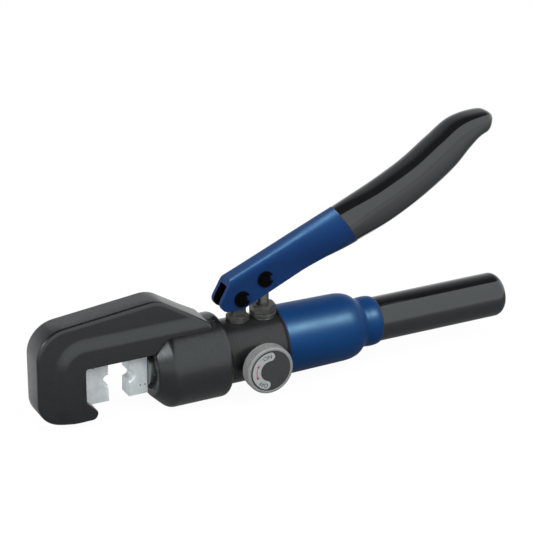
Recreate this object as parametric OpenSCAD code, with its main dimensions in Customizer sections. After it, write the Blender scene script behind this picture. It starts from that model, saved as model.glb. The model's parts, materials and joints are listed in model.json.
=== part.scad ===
// Hand pumped hydraulic crimping tool: a C shaped head with two dies, a pump body,
// a reservoir housing that carries the fixed handle, a pump lever and a release knob.
// The X axis is the tool axis (head towards -X), the knob faces -Y and Z points up.
// The origin is the middle of the fixed handle's grip, on the tool axis.

/* [Handle] */
// Length of the straight wall of the fixed grip
grip_wall = 87; // [70:1:110]
// Outer radius of the fixed grip
grip_r = 14.6; // [14:0.1:16]
// Length of the rounded end of the fixed grip
grip_nose = 8; // [4.5:0.1:9]
// Thickness of the grip past the end of the handle tube
grip_end_wall = 3; // [2:0.1:5]
// Outer radius of the handle tube
tube_r = 12.3; // [11.6:0.1:12.8]
// Wall of the handle tube
tube_wall = 1.8; // [1.2:0.1:2.4]
// Length of the plug in the end of the handle tube
plug_len = 6; // [4:0.5:10]

/* [Reservoir housing] */
// Radius of the housing at its front rim
housing_r = 22.8; // [22.3:0.1:25]
// Radius lost along the barrel of the housing
housing_taper = 0.7; // [0.2:0.1:1.2]
// Length of the barrel of the housing
housing_barrel = 42; // [36:0.5:60]
// Length of the rounded shoulder of the housing
housing_shoulder = 15.5; // [12:0.5:20]
// Wall of the housing barrel
housing_wall = 3.2; // [2.6:0.1:3.8]
// Radius of the neck behind the shoulder
neck_r = 15.8; // [15:0.1:16]
// Length of the neck
neck_len = 3; // [2:0.5:6]
// Radius of the bead in front of the grip
bead_r = 16.4; // [16.1:0.1:18]
// Length of the bead
bead_len = 10.9; // [8:0.1:14]
// Wall of the oil bladder
bladder_wall = 1.5; // [1:0.1:2]

/* [Pump body] */
// Radius of the pump body between head and housing
pump_r = 21; // [20.4:0.1:22]
// Length of the pump body between head and housing
pump_len = 41; // [39:0.5:50]
// Radius of the threaded front spigot
spigot_r = 19; // [18:0.1:19.6]
// Length of the threaded front spigot
spigot_len = 13; // [11:0.5:16]
// Length of the rear spigot inside the housing
rear_spigot_len = 14; // [11:0.5:18]
// Step from the rear spigot down to the stub that carries the bladder
stub_step = 4.6; // [4:0.1:5]
// Length of the stub that carries the bladder
stub_len = 10; // [8:0.5:14]
// Distance of the relief valve ahead of the housing
relief_back = 25; // [22:0.5:28]
// Radius of the three valve balls
ball_r = 2.4; // [2.2:0.1:2.6]

/* [Pump drive] */
// Distance of the fulcrum ahead of the housing
fulcrum_back = 26.7; // [25:0.1:28]
// Height of the fulcrum above the tool axis
fulcrum_z = 37.6; // [37:0.1:40]
// Distance from the fulcrum to the plunger pin
link_r = 19.4; // [18.6:0.1:20.5]
// Angle of the line from fulcrum to plunger pin at rest
link_angle = 32.8; // [31:0.1:36]
// Swing of the pump lever
lever_swing = 25; // [20:1:26]
// Radius of the fulcrum pin and of the plunger pin
pin_r = 3; // [2.6:0.1:3.4]
// Radius of the pump plunger
plunger_r = 4; // [3.6:0.1:4.4]
// Height of the gland nut's top above the tool axis
gland_top = 28.4; // [28:0.1:29.8]
// Radius of the eye at the top of the fulcrum stud
eye_r = 6.3; // [5.6:0.1:6.8]
// Thickness of the eye and of the plunger's head
eye_w = 7.8; // [7.2:0.1:8]

/* [Pump lever] */
// Tilt of the lever at rest
lever_tilt = 22.8; // [20:0.1:26]
// Outer width of the lever's channel
channel_w = 14.4; // [13.6:0.1:16]
// Inner width of the lever's channel
channel_in = 8.4; // [8.2:0.1:9]
// Height of the channel's top above the fulcrum
channel_top = 14.2; // [13.8:0.1:16]
// Depth of the channel's lower edge below the fulcrum
channel_low = 7; // [6:0.1:7.2]
// Rise of the channel's lower edge towards the socket
channel_rise = 1.7; // [0.5:0.1:3]
// Thickness of the web over the channel
channel_web = 3; // [2:0.1:3.4]
// Length from the fulcrum to the front of the channel
channel_front = 14.5; // [12:0.5:17]
// Length of the channel behind the fulcrum
channel_len = 45; // [40:1:55]
// Length from the fulcrum to the end of the painted lever
socket_end = 82.5; // [74:0.5:95]
// Width of the painted lever at its end
socket_w = 24.6; // [22.5:0.1:27]
// Height of the painted lever at its end
socket_h = 26.6; // [24:0.1:27.5]
// Lean of the joint between the painted lever and its grip
socket_lean = 9; // [0:0.5:12]
// Radius of the lever's core bar
core_r = 8; // [6.5:0.1:8.6]
// Length of the core bar inside the lever grip
core_in_grip = 58; // [40:1:62]
// Length of the core bar inside the painted lever
core_in_socket = 24; // [15:0.5:30]

/* [Head] */
// Radius of the round boss of the head
boss_r = 27.4; // [26.5:0.1:29]
// Rounding of the boss's rear edge
boss_round = 4; // [2:0.1:5]
// Length of the coned front edge of the boss
boss_nose = 13; // [8:0.5:14]
// Radius of the flat front of the boss
boss_flat_r = 15.6; // [14.6:0.1:20]
// Thickness of the boss's front wall
boss_wall = 9.5; // [8:0.5:14]
// Width of the head's rim
rim_w = 16; // [13:0.5:18]
// Thickness of the head at its middle
frame_w = 26; // [24:0.5:30]
// Length of the jaw in front of the throat
jaw_len = 30.6; // [27:0.2:36]
// Height of the throat above the tool axis
throat_top = 14.3; // [13.5:0.1:16]
// Length of the hook under the fixed die
hook_len = 7.1; // [5:0.1:9]
// Height of the head's upper front corner
corner_top = 42.9; // [40:0.1:45]
// Radius of the head's upper front corner
corner_r = 19.2; // [16:0.1:22]
// Height of the head's peak
peak_top = 48.8; // [46:0.1:52]
// Drop of the chin below the tool axis
chin_drop = 21.9; // [20:0.1:24]

/* [Ram and dies] */
// Stroke of the ram
ram_stroke = 13; // [11:0.5:16]
// Radius of the ram's rod
rod_r = 10.6; // [9.8:0.1:11.4]
// Radius of the ram's piston
piston_r = 16.45; // [15.8:0.05:17]
// Length of the ram's piston
piston_len = 10; // [9.5:0.5:16]
// Reach of the ram's nose in front of the boss
nose_out = 2.5; // [1:0.1:4]
// Thickness of the ram's nose in front of the spring
nose_wall = 6; // [5:0.1:8]
// Thickness of the two dies
die_w = 11.6; // [10.5:0.1:13]
// Length of the fixed die
fixed_die_len = 17.5; // [14:0.1:20]
// Length of the moving die
moving_die_len = 12.9; // [11:0.1:16]
// Radius of the round notch in each die
notch_r = 4; // [2.5:0.1:5]
// Radius of the locating stem behind each die
stem_r = 4; // [3.4:0.1:4.6]

/* [Release valve] */
// Distance of the release knob ahead of the housing
knob_back = 20.2; // [19:0.1:21]
// Drop of the release knob below the tool axis
knob_drop = 1.7; // [1:0.1:3]
// Radius of the release knob
knob_r = 15.9; // [14.6:0.1:16.4]
// Thickness of the release knob
knob_w = 9; // [8:0.5:12]
// Gap between the pump body and the release knob
knob_gap = 5; // [2:0.1:6]
// Number of grooves around the knob
knob_grooves = 36; // [24:1:44]
// Radius of the dark disc in the knob
disc_r = 13.5; // [11.5:0.1:13.7]
// Radius of the release spindle
spindle_r = 3; // [2.6:0.1:3.2]

/* [Hidden] */
$fn = 64;
hull_fn = 32;

// Clearances: pieces that run in each other, and pieces that are fixed together
run_fit = 0.05;
seat_fit = 0.03;
ring_fit = 0.08;
loose_fit = 0.3;
ram_rest_gap = 2;
ram_end_gap = 0.5;
die_end_gap = 0.4;
// Reach of a cut past the face that it opens
over = 1;

// Stations along the tool axis, from the grip forwards
x_grip = -grip_wall / 2;
x_bead = x_grip - bead_len;
x_neck = x_bead - neck_len;
x_shoulder = x_neck - housing_shoulder;
x_seam = x_shoulder - housing_barrel;
x_head_rear = x_seam - pump_len;
x_spigot = x_head_rear - spigot_len;
x_piston_rear = x_spigot - ram_rest_gap;
x_piston_front = x_piston_rear - piston_len;
x_bore_front = x_piston_front - ram_stroke - ram_end_gap;
x_boss_front = x_bore_front - boss_wall;
x_nose = x_boss_front - nose_out;
x_moving_face = x_nose - moving_die_len;
x_fixed_face = x_moving_face - ram_stroke - die_end_gap;
x_throat = x_fixed_face - fixed_die_len;
x_front = x_throat - jaw_len;

// Stations from the seam and from the grip backwards
x_rear = x_seam + rear_spigot_len;
x_stub = x_rear + stub_len;
x_grip_end = grip_wall / 2 + grip_nose;
x_tube_end = x_grip_end - grip_end_wall;
x_tube = x_neck - 1;
tube_in = tube_r - tube_wall;
housing_in = housing_r - housing_wall;
rear_spigot_r = housing_in - seat_fit;
stub_r = housing_in - stub_step;
valve_drop = 0.6 * stub_r;
shoulder_r = housing_r - housing_taper;

// Ram cavity, return spring, seals and die stems
cavity_r = rod_r - 4;
ram_plug_len = 3;
x_cavity = x_nose + nose_wall;
bolt_r = 3;
bolt_thread = 8;
bolt_head_r = cavity_r - 0.8;
bolt_head_len = 3.5;
x_bolt_front = x_cavity + 1.5;
x_bolt_seat = x_bolt_front + bolt_head_len;
x_ram_plug = x_piston_rear - ram_plug_len;
spring_wire = 0.6;
spring_gap = 0.2;
spring_turns = 6;
stem_len = nose_wall - 1.8;
die_pin_r = 1;
die_pin_reach = stem_r + 1.2;
die_half = throat_top - loose_fit;
wiper_r = rod_r + 2.8;
wiper_depth = 4;
wiper_sink = 0.8;
seal_depth = 3;
seal_len = 3.5;
backup_len = 1.5;
x_seal = x_piston_rear - 3;

// Seal rings and the lock screw of the head
ring_r = 0.9;
groove_w = 2.7;
x_head_ring = x_spigot + 3;
x_housing_ring = x_seam + 6;
lock_r = 2;
lock_sink = 1;
x_lock = x_head_rear - boss_round - lock_r;

// Pump drive
x_fulcrum = x_seam - fulcrum_back;
x_plunger = x_fulcrum + link_r * (cos(link_angle) + cos(link_angle - lever_swing)) / 2;
x_link = x_fulcrum + link_r * cos(link_angle);
z_link = fulcrum_z + link_r * sin(link_angle);
slot_half = pin_r + 0.35;
slot_reach = x_plunger - x_link;
head_r = slot_half + 2.3;
spot_depth = 1;
z_spot = pump_r - spot_depth;
gland_stem_r = plunger_r + 1.5;
gland_base_r = gland_stem_r + 2.4;
gland_base_h = 2.6;
hex_r = (gland_stem_r + 1.9) / cos(30);
washer_r = gland_base_r + 0.3;
washer_h = 0.8;
seal_h = 3;
z_seal = 9;
plunger_low = 0.5;
z_bore_low = -valve_drop - 3;
stud_thread_r = 4;
stud_thread = 8;
stud_collar_r = 7.2;
stud_collar_h = 4;
clip_r = pin_r + 2.3;
clip_w = 1;
clip_gap = 4;
clip_turn = -20;
pin_head = 0.6;

// Valves
valve_bore_r = ball_r + 0.8;
valve_seat_r = ball_r - 0.9;
ball_sit = sqrt(ball_r * ball_r - valve_seat_r * valve_seat_r) + run_fit;
passage_r = 1.2;
valve_wire = 0.35;
valve_spring_r = ball_r - 0.5;
valve_spring_len = 11;
valve_turns = 6;
relief_spring_len = 5;
relief_turns = 3;
relief_screw_len = 3;
screw_len = 6;
seat_len = 7;
x_discharge = x_plunger - plunger_r - 1.3;
x_discharge_screw = x_discharge - ball_sit - ball_r - valve_spring_len;
x_suction = x_stub - seat_len - 1;
x_suction_stop = x_suction - ball_sit - ball_r - valve_spring_len;
x_relief = x_seam - relief_back;
y_relief = valve_bore_r + 1.5;

// Release valve, with heights counted from the tool axis towards the front
x_knob = x_seam - knob_back;
z_knob = -knob_drop;
h_seat = 10;
h_return = h_seat + 1.5;
h_thread = 13.5;
h_shoulder = 17;
h_gland = h_shoulder + 2;
h_knob = pump_r + knob_gap;
passage_dip = atan2(valve_drop - knob_drop, h_seat);
spindle_thread_r = spindle_r + 0.95;
gland_nut_r = spindle_r + 3.4;
knob_bore = knob_w - 3;
knob_edge = 0.8;
disc_sink = 1.1;
disc_h = 0.9;
scale_h = 0.3;
scale_band = 2.8;
scale_mid = disc_r - scale_band - 0.9;
scale_end = 252;
rim_cut_r = 0.7;
groove_out = 0.35;
grub_r = 1.5;

// Head outline
x_peak = x_boss_front + 2.2;
x_tail = x_boss_front + 33.8;
tail_top = boss_r + 2.1;
tail_drop = 17;
boss_edge = 1;
peak_r = 10.2;
tail_r = 6;
chin_r = 15;
tip_r = 3.5;
bevel_mid = 6;
bevel_full = 19;
rim_mid_w = rim_w + 0.6 * (frame_w - rim_w);
hook_root = 8.5;
hook_lip = 15.4;
lip_round = 1;

// Housing and bladder
rim_edge = 0.6;
clamp_wall = 1.6;
clamp_len = 4;
clamp_back = 2;

// Lever channel and socket
channel_nose = 1.4;
channel_chin = 5.5;
chin_z = 2;
chin_angles = [145 : 15 : 250];
socket_z = 2.5;
socket_swell = 66;
socket_end_section = [socket_end, socket_z, socket_h / 2, socket_w / 2, socket_lean];
socket_swell_section = [socket_swell, socket_z, socket_h / 2 - 0.2, socket_w / 2 - 0.3, 0];
oval_h = 0.2;
lever_pins = [[0, 0], [link_r * cos(link_angle - lever_tilt), link_r * sin(link_angle - lever_tilt)]];

// Lever grip: share of its length, then height, half height and half width as shares of the socket's
// height, half height and half width, and pitch of each section
lever_grip_len = 115;
lever_shares = [
    [0.278, 0.12, 1.038, 1.008, 4],
    [0.504, 0.237, 1.008, 1.016, 10],
    [0.696, 0.425, 0.977, 1.008, 14],
    [0.835, 0.632, 0.887, 0.959, 6],
    [0.93, 0.632, 0.556, 0.862, -18],
    [1, 0.496, 0.391, 0.683, -24]
];
lever_sections = concat([socket_end_section], [for (k = lever_shares) [
    socket_end + k[0] * lever_grip_len, k[1] * socket_h, k[2] * socket_h / 2, k[3] * socket_w / 2, k[4]
]]);

// Places children with their Z axis along +X, +Y or -Y
module along_x(x, y = 0, z = 0) translate([x, y, z]) rotate([0, 90, 0]) children();
module along_y(x, y, z) translate([x, y, z]) rotate([-90, 0, 0]) children();
module toward_front(x, y, z) translate([x, y, z]) rotate([90, 0, 0]) children();

// Solid of revolution about the tool axis from points of radius and X
module turned(points) rotate([0, 90, 0]) rotate_extrude() polygon(points);

// Round bar along the tool axis from x0 to x1
module bar(x0, x1, r, y = 0, z = 0) along_x(x0, y, z) cylinder(r = r, h = x1 - x0);

// Ring along the tool axis from x0 to x1
module ring(x0, x1, inner, outer) {
    turned([[inner, x0], [outer, x0], [outer, x1], [inner, x1]]);
}

// Round section ring about the tool axis
module o_ring(x, mean, r) rotate([0, 90, 0]) rotate_extrude() translate([mean, x]) circle(r);

// Plate of an XZ outline, centred on the tool's middle plane
module side_plate(w) rotate([90, 0, 0]) linear_extrude(w, center = true) children();

// Quarter of an ellipse in radius and X, from the larger radius to the smaller one
function quarter(x0, x1, r0, r1, first = 0, steps = 10) = [
    for (i = [first : steps]) let (a = 90 * i / steps) [r1 + (r0 - r1) * cos(a), x0 + (x1 - x0) * sin(a)]
];

// Points of a list in the other order
function reversed(v) = [for (i = [len(v) - 1 : -1 : 0]) v[i]];

// Lever frame: X along the lever from the fulcrum
module at_lever() translate([x_fulcrum, 0, fulcrum_z]) rotate([0, -lever_tilt, 0]) children();

// Wire spring: one tube on a helix, eight rings to a turn
ring_sides = 6;
rings_per_turn = 8;
function coil_centres(r, wire, turns, len) = [
    for (i = [0 : turns * rings_per_turn])
        let (a = 360 * i / rings_per_turn)
        [r * cos(a), r * sin(a), wire + (len - 2 * wire) * i / (turns * rings_per_turn)]
];
function coil_points(r, wire, turns, len) = [
    for (i = [0 : turns * rings_per_turn], k = [0 : ring_sides - 1])
        let (a = 360 * i / rings_per_turn, b = 360 * k / ring_sides)
        coil_centres(r, wire, turns, len)[i]
            + wire * [cos(b) * cos(a), cos(b) * sin(a), sin(b)]
];
function coil_faces(n) = concat(
    [[for (k = [0 : ring_sides - 1]) k]],
    [for (i = [0 : n - 1], k = [0 : ring_sides - 1], half = [0, 1])
        let (p = i * ring_sides + k, q = i * ring_sides + (k + 1) % ring_sides)
        half == 0 ? [p, p + ring_sides, q] : [q, p + ring_sides, q + ring_sides]],
    [[for (k = [ring_sides - 1 : -1 : 0]) n * ring_sides + k]]
);
function least_gap(c, wire) = min([
    for (i = [0 : len(c) - 1], j = [i + rings_per_turn - 2 : 1 : len(c) - 1])
        norm(c[i] - c[j]) - 2 * wire
]);
module coil_spring(r, wire, turns, len) {
    echo(least_gap = least_gap(coil_centres(r, wire, turns, len), wire));
    polyhedron(coil_points(r, wire, turns, len), coil_faces(turns * rings_per_turn));
}

// Head

module head_outline() {
    hull() {
        translate([x_front + corner_r, corner_top - corner_r]) circle(corner_r, $fn = hull_fn);
        translate([x_peak, peak_top - peak_r]) circle(peak_r, $fn = hull_fn);
        translate([x_tail, tail_top - tail_r]) circle(tail_r, $fn = hull_fn);
        translate([x_tail, tail_r - tail_drop]) circle(tail_r, $fn = hull_fn);
        translate([x_front + chin_r, chin_r - chin_drop]) circle(chin_r, $fn = hull_fn);
        translate([x_throat + hook_len - tip_r, tip_r - chin_drop]) circle(tip_r, $fn = hull_fn);
    }
}

module throat_outline() {
    z_low = -2 * chin_drop;
    polygon([
        [x_throat, throat_top],
        [x_throat, -hook_root],
        [x_throat + hook_len - lip_round, -hook_lip],
        [x_throat + hook_len, -hook_lip - lip_round],
        [x_throat + hook_len, z_low],
        [x_boss_front + boss_nose, z_low],
        [x_boss_front + boss_nose, throat_top]
    ]);
}

module boss() {
    turned(concat(
        quarter(x_head_rear - boss_round, x_head_rear, boss_r, boss_r - boss_round),
        [[0, x_head_rear], [0, x_boss_front]],
        [
            [boss_flat_r, x_boss_front],
            [boss_r - boss_edge, x_boss_front + boss_nose - 2 * boss_edge],
            [boss_r, x_boss_front + boss_nose]
        ]
    ));
}

// Pocket in the hook for the lower corner of the fixed die
module die_pocket() {
    half_w = (die_w + loose_fit) / 2;
    depth = die_half + loose_fit / 2;
    translate([x_throat, -half_w, -depth]) cube([hook_len + over, 2 * half_w, depth]);
}

module head_frame() {
    color("#2b2e2e")
    difference() {
        union() {
            difference() {
                hull() {
                    side_plate(rim_w) head_outline();
                    side_plate(rim_mid_w) offset(r = -bevel_mid) head_outline();
                    side_plate(frame_w) offset(r = -bevel_full) head_outline();
                }
                side_plate(2 * frame_w) throat_outline();
            }
            boss();
        }
        bar(x_boss_front - over, x_boss_front + wiper_depth, wiper_r);
        bar(x_boss_front, x_bore_front + over, rod_r + run_fit);
        bar(x_bore_front, x_spigot + over, piston_r + run_fit);
        bar(x_spigot, x_head_rear + over, spigot_r + seat_fit);
        bar(x_throat - stem_len - seat_fit, x_throat + over, stem_r + seat_fit);
        die_pocket();
        along_y(x_throat - stem_len / 2, -die_pin_reach, 0) cylinder(r = die_pin_r + seat_fit, h = frame_w);
        translate([x_lock, 0, -boss_r - over])
            cylinder(r = lock_r + seat_fit, h = boss_r - spigot_r + 2 * over);
    }
}

// Die with its back at X = 0, its face at X = len and its stem behind it
module die_block(len) {
    difference() {
        union() {
            translate([0, -die_w / 2, -die_half]) cube([len, die_w, 2 * die_half]);
            bar(-stem_len, len / 2, stem_r);
        }
        along_y(len, -die_w, 0) cylinder(r = notch_r, h = 2 * die_w);
        along_y(-stem_len / 2, -die_w, 0) cylinder(r = die_pin_r + seat_fit, h = 2 * die_w);
    }
}

module fixed_die() color("#c3c8ca") translate([x_throat, 0, 0]) die_block(fixed_die_len);

module moving_die() color("#c3c8ca") translate([x_nose, 0, 0]) mirror([1, 0, 0]) die_block(moving_die_len);

module fixed_die_pin() {
    color("#8a8d90")
    along_y(x_throat - stem_len / 2, seat_fit - die_pin_reach, 0)
        cylinder(r = die_pin_r, h = die_pin_reach + frame_w / 2 - 1);
}

module moving_die_pin() {
    color("#8a8d90")
    along_y(x_nose + stem_len / 2, 1 - rod_r, 0) cylinder(r = die_pin_r, h = 2 * rod_r - 2);
}

module wiper_ring() {
    color("#1b1b1b")
    ring(x_boss_front + wiper_sink, x_boss_front + wiper_depth, rod_r + ring_fit, wiper_r - seat_fit);
}

module head_lock_screw() {
    color("#3a3a3a")
    translate([x_lock, 0, lock_sink - boss_r])
        cylinder(r = lock_r, h = boss_r - spigot_r - lock_sink - 3 * seat_fit);
}

// Ram

module ram() {
    color("#b9bdbf")
    difference() {
        union() {
            bar(x_nose, x_piston_front + over, rod_r);
            bar(x_piston_front, x_piston_rear, piston_r);
        }
        bar(x_cavity, x_piston_rear + over, cavity_r);
        bar(x_nose - over, x_nose + stem_len + seat_fit, stem_r + seat_fit);
        along_y(x_nose + stem_len / 2, -piston_r, 0) cylinder(r = die_pin_r + seat_fit, h = 2 * piston_r);
        ring(x_seal - seal_len - backup_len, x_seal, piston_r - seal_depth, piston_r + over);
    }
}

module ram_seal() {
    color("#222222")
    ring(x_seal - seal_len + seat_fit, x_seal - seat_fit, piston_r - seal_depth + seat_fit, piston_r);
}

module ram_backup_ring() {
    color("#d8d2c0")
    ring(x_seal - seal_len - backup_len + seat_fit, x_seal - seal_len - seat_fit,
        piston_r - seal_depth + seat_fit, piston_r);
}

module ram_plug() {
    color("#8f9395") ring(x_ram_plug, x_piston_rear, bolt_r + loose_fit, cavity_r - seat_fit);
}

module spring_bolt() {
    color("#7c8083") {
        bar(x_bolt_front, x_bolt_seat, bolt_head_r);
        bar(x_bolt_seat - over, x_spigot + bolt_thread - over, bolt_r);
    }
}

module return_spring() {
    room = x_ram_plug - x_bolt_seat;
    color("#9da1a4")
    along_x(x_bolt_seat + spring_gap)
        coil_spring((bolt_r + cavity_r) / 2, spring_wire, spring_turns, room - 2 * spring_gap);
}

// Pump body

module groove(x, r) ring(x - groove_w / 2, x + groove_w / 2, r - groove_w / sqrt(2), r + over);

module pump_body() {
    color("#33373a")
    difference() {
        union() {
            bar(x_spigot, x_head_rear + over, spigot_r);
            bar(x_head_rear, x_seam, pump_r);
            bar(x_seam - over, x_rear, rear_spigot_r);
            bar(x_rear - over, x_stub, stub_r);
        }
        groove(x_head_ring, spigot_r);
        groove(x_housing_ring, rear_spigot_r);
        bar(x_spigot - over, x_spigot + bolt_thread, bolt_r + seat_fit);
        pump_bores();
        valve_bores();
        release_bores();
    }
}

module pump_bores() {
    translate([x_plunger, 0, z_bore_low]) cylinder(r = plunger_r + run_fit, h = z_seal - z_bore_low + over);
    translate([x_plunger, 0, z_seal]) cylinder(r = gland_stem_r, h = pump_r);
    translate([x_plunger, 0, z_spot]) cylinder(r = washer_r + seat_fit, h = pump_r);
    translate([x_fulcrum, 0, z_spot - stud_thread]) cylinder(r = stud_thread_r + seat_fit, h = pump_r);
    translate([x_fulcrum, 0, z_spot]) cylinder(r = stud_collar_r + seat_fit, h = pump_r);
}

module valve_bores() {
    bar(x_spigot - over, x_discharge, valve_bore_r, 0, -valve_drop);
    bar(x_discharge - over, x_suction_stop + over, valve_seat_r, 0, -valve_drop);
    bar(x_suction_stop, x_stub + over, valve_bore_r, 0, -valve_drop);
    along_y(x_relief, 0, -valve_drop) cylinder(r = valve_seat_r, h = pump_r);
    along_y(x_relief, y_relief, -valve_drop) cylinder(r = valve_bore_r, h = pump_r);
    bar(x_relief, x_stub + over, passage_r, y_relief + ball_sit, -valve_drop);
}

module release_bores() {
    toward_front(x_knob, -h_seat, z_knob) cylinder(r = spindle_thread_r + run_fit, h = pump_r);
    toward_front(x_knob, -h_shoulder, z_knob) cylinder(r = gland_nut_r, h = pump_r);
    translate([x_knob, -h_seat, z_knob])
        rotate([-90 - passage_dip, 0, 0])
            translate([0, 0, -passage_r]) cylinder(r = passage_r, h = h_seat + passage_r);
    bar(x_knob, x_stub + over, passage_r, -h_return, z_knob);
}

module head_o_ring() color("#151515") o_ring(x_head_ring, spigot_r - ring_r - seat_fit, ring_r);

module housing_o_ring() color("#151515") o_ring(x_housing_ring, rear_spigot_r - ring_r - seat_fit, ring_r);

// Plunger pump

module plunger_gland() {
    z_base = z_spot + washer_h;
    color("#4a4d4e")
    translate([x_plunger, 0, 0])
    difference() {
        union() {
            translate([0, 0, z_seal + seal_h])
                cylinder(r = gland_stem_r - seat_fit, h = z_base - z_seal - seal_h + over);
            translate([0, 0, z_base]) cylinder(r = gland_base_r, h = gland_base_h);
            translate([0, 0, z_base]) rotate(30) cylinder(r = hex_r, h = gland_top - z_base, $fn = 6);
        }
        cylinder(r = plunger_r + run_fit, h = 2 * gland_top);
    }
}

module gland_washer() {
    color("#777a7b")
    translate([x_plunger, 0, z_spot])
    difference() {
        cylinder(r = washer_r, h = washer_h);
        translate([0, 0, -over]) cylinder(r = gland_stem_r + seat_fit, h = washer_h + 2 * over);
    }
}

module plunger_seal() {
    color("#1b1b1b")
    translate([x_plunger, 0, z_seal + seat_fit])
    difference() {
        cylinder(r = gland_stem_r - seat_fit, h = seal_h - 2 * seat_fit);
        translate([0, 0, -over]) cylinder(r = plunger_r + ring_fit, h = seal_h + 2 * over);
    }
}

module pump_plunger() {
    color("#b4b8ba") {
        translate([x_plunger, 0, plunger_low])
            cylinder(r = plunger_r, h = z_link - head_r - plunger_low + over);
        side_plate(eye_w) difference() {
            slot_outline(head_r);
            slot_outline(slot_half);
        }
    }
}

// Round ended outline about the plunger pin's path
module slot_outline(r) {
    for (side = [-1, 1]) translate([x_plunger + side * slot_reach, z_link]) circle(r);
    translate([x_plunger, z_link]) square([2 * slot_reach, 2 * r], center = true);
}

module fulcrum_stud() {
    color("#43464a")
    translate([x_fulcrum, 0, 0])
    difference() {
        union() {
            translate([0, 0, z_spot - stud_thread]) cylinder(r = stud_thread_r, h = stud_thread + over);
            translate([0, 0, z_spot]) cylinder(r = stud_collar_r, h = stud_collar_h);
            translate([0, 0, z_spot]) cylinder(r = eye_w / 2, h = fulcrum_z - z_spot);
            along_y(0, -eye_w / 2, fulcrum_z) cylinder(r = eye_r, h = eye_w);
        }
        along_y(0, -eye_w, fulcrum_z) cylinder(r = pin_r + run_fit, h = 2 * eye_w);
    }
}

// Valves

module valve_ball(x, y) color("#c9ccce") translate([x, y, -valve_drop]) sphere(ball_r);

module suction_ball() valve_ball(x_suction - ball_sit, 0);

module discharge_ball() valve_ball(x_discharge - ball_sit, 0);

module relief_ball() valve_ball(x_relief, y_relief + ball_sit);

module suction_spring() {
    color("#9da1a4")
    along_x(x_suction_stop, 0, -valve_drop)
        coil_spring(valve_spring_r, valve_wire, valve_turns, valve_spring_len);
}

module discharge_spring() {
    color("#9da1a4")
    along_x(x_discharge_screw, 0, -valve_drop)
        coil_spring(valve_spring_r, valve_wire, valve_turns, valve_spring_len);
}

module relief_spring() {
    color("#9da1a4")
    along_y(x_relief, y_relief + ball_sit + ball_r, -valve_drop)
        coil_spring(valve_spring_r, valve_wire, relief_turns, relief_spring_len);
}

// Round screw of length len with a hole along it
module hollow_screw(len, hole) {
    difference() {
        cylinder(r = valve_bore_r - seat_fit, h = len);
        translate([0, 0, -over]) cylinder(r = hole, h = len + 2 * over);
    }
}

module suction_seat() {
    color("#8f9395") along_x(x_suction, 0, -valve_drop) hollow_screw(seat_len, valve_seat_r);
}

module suction_filter() {
    color("#b08d57") bar(x_suction + seat_len, x_stub, valve_bore_r - seat_fit, 0, -valve_drop);
}

module discharge_screw() {
    color("#8f9395")
    along_x(x_discharge_screw - screw_len, 0, -valve_drop) hollow_screw(screw_len, passage_r);
}

module relief_screw() {
    color("#3a3a3a")
    along_y(x_relief, y_relief + ball_sit + ball_r + relief_spring_len, -valve_drop)
    difference() {
        cylinder(r = valve_bore_r - seat_fit, h = relief_screw_len);
        translate([0, 0, relief_screw_len / 2]) cylinder(r = valve_bore_r / 2, h = relief_screw_len, $fn = 6);
    }
}

// Release valve, with heights counted from the tool axis towards the front

module at_knob() toward_front(x_knob, 0, z_knob) children();

module release_spindle() {
    color("#a4a8aa")
    at_knob() rotate_extrude() polygon([
        [0, h_seat - 0.4],
        [passage_r / 2, h_seat - 0.4],
        [spindle_r - 0.5, h_return + 0.5],
        [spindle_r - 0.5, h_thread],
        [spindle_thread_r, h_thread],
        [spindle_thread_r, h_shoulder - 0.3],
        [spindle_r, h_shoulder - 0.3],
        [spindle_r, h_knob + knob_bore],
        [0, h_knob + knob_bore]
    ]);
}

module spindle_o_ring() {
    color("#151515")
    at_knob() rotate_extrude()
        translate([spindle_r + ring_r + ring_fit, (h_shoulder + h_gland) / 2]) circle(ring_r);
}

module spindle_gland() {
    color("#5a5d5f")
    at_knob() translate([0, 0, h_gland])
    difference() {
        cylinder(r = gland_nut_r - seat_fit, h = h_knob - loose_fit - h_gland);
        translate([0, 0, -over]) cylinder(r = spindle_r + run_fit, h = h_knob);
    }
}

module release_knob() {
    color("#a9adab")
    at_knob()
    difference() {
        rotate_extrude() polygon([
            [0, h_knob],
            [knob_r - knob_edge, h_knob],
            [knob_r, h_knob + knob_edge],
            [knob_r, h_knob + knob_w - knob_edge],
            [knob_r - knob_edge, h_knob + knob_w],
            [0, h_knob + knob_w]
        ]);
        for (i = [1 : knob_grooves])
            rotate(360 * i / knob_grooves) translate([knob_r + groove_out, 0, h_knob - over])
                cylinder(r = rim_cut_r, h = knob_w + 2 * over);
        translate([0, 0, h_knob - over]) cylinder(r = spindle_r + seat_fit, h = knob_bore + over + seat_fit);
        translate([0, 0, h_knob + knob_w - disc_sink]) cylinder(r = disc_r + seat_fit, h = knob_w);
        translate([0, 0, h_knob + knob_bore / 2])
            rotate([90, 0, 0]) cylinder(r = grub_r + seat_fit, h = knob_r);
    }
}

module knob_disc() {
    color("#434546")
    at_knob() translate([0, 0, h_knob + knob_w - disc_sink]) cylinder(r = disc_r, h = disc_h);
}

// Arc shaped plate with round ends
module knob_scale() {
    reach = 2 * disc_r;
    color("#b6bdbd")
    at_knob() translate([0, 0, h_knob + knob_w - disc_sink + disc_h])
    linear_extrude(scale_h) {
        difference() {
            circle(scale_mid + scale_band);
            circle(scale_mid - scale_band);
            polygon([[0, 0], [0, reach], [reach, reach], [reach, -reach],
                [cos(scale_end) * reach, sin(scale_end) * reach]]);
        }
        for (a = [90, scale_end]) rotate(a) translate([scale_mid, 0]) circle(scale_band);
    }
}

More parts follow.
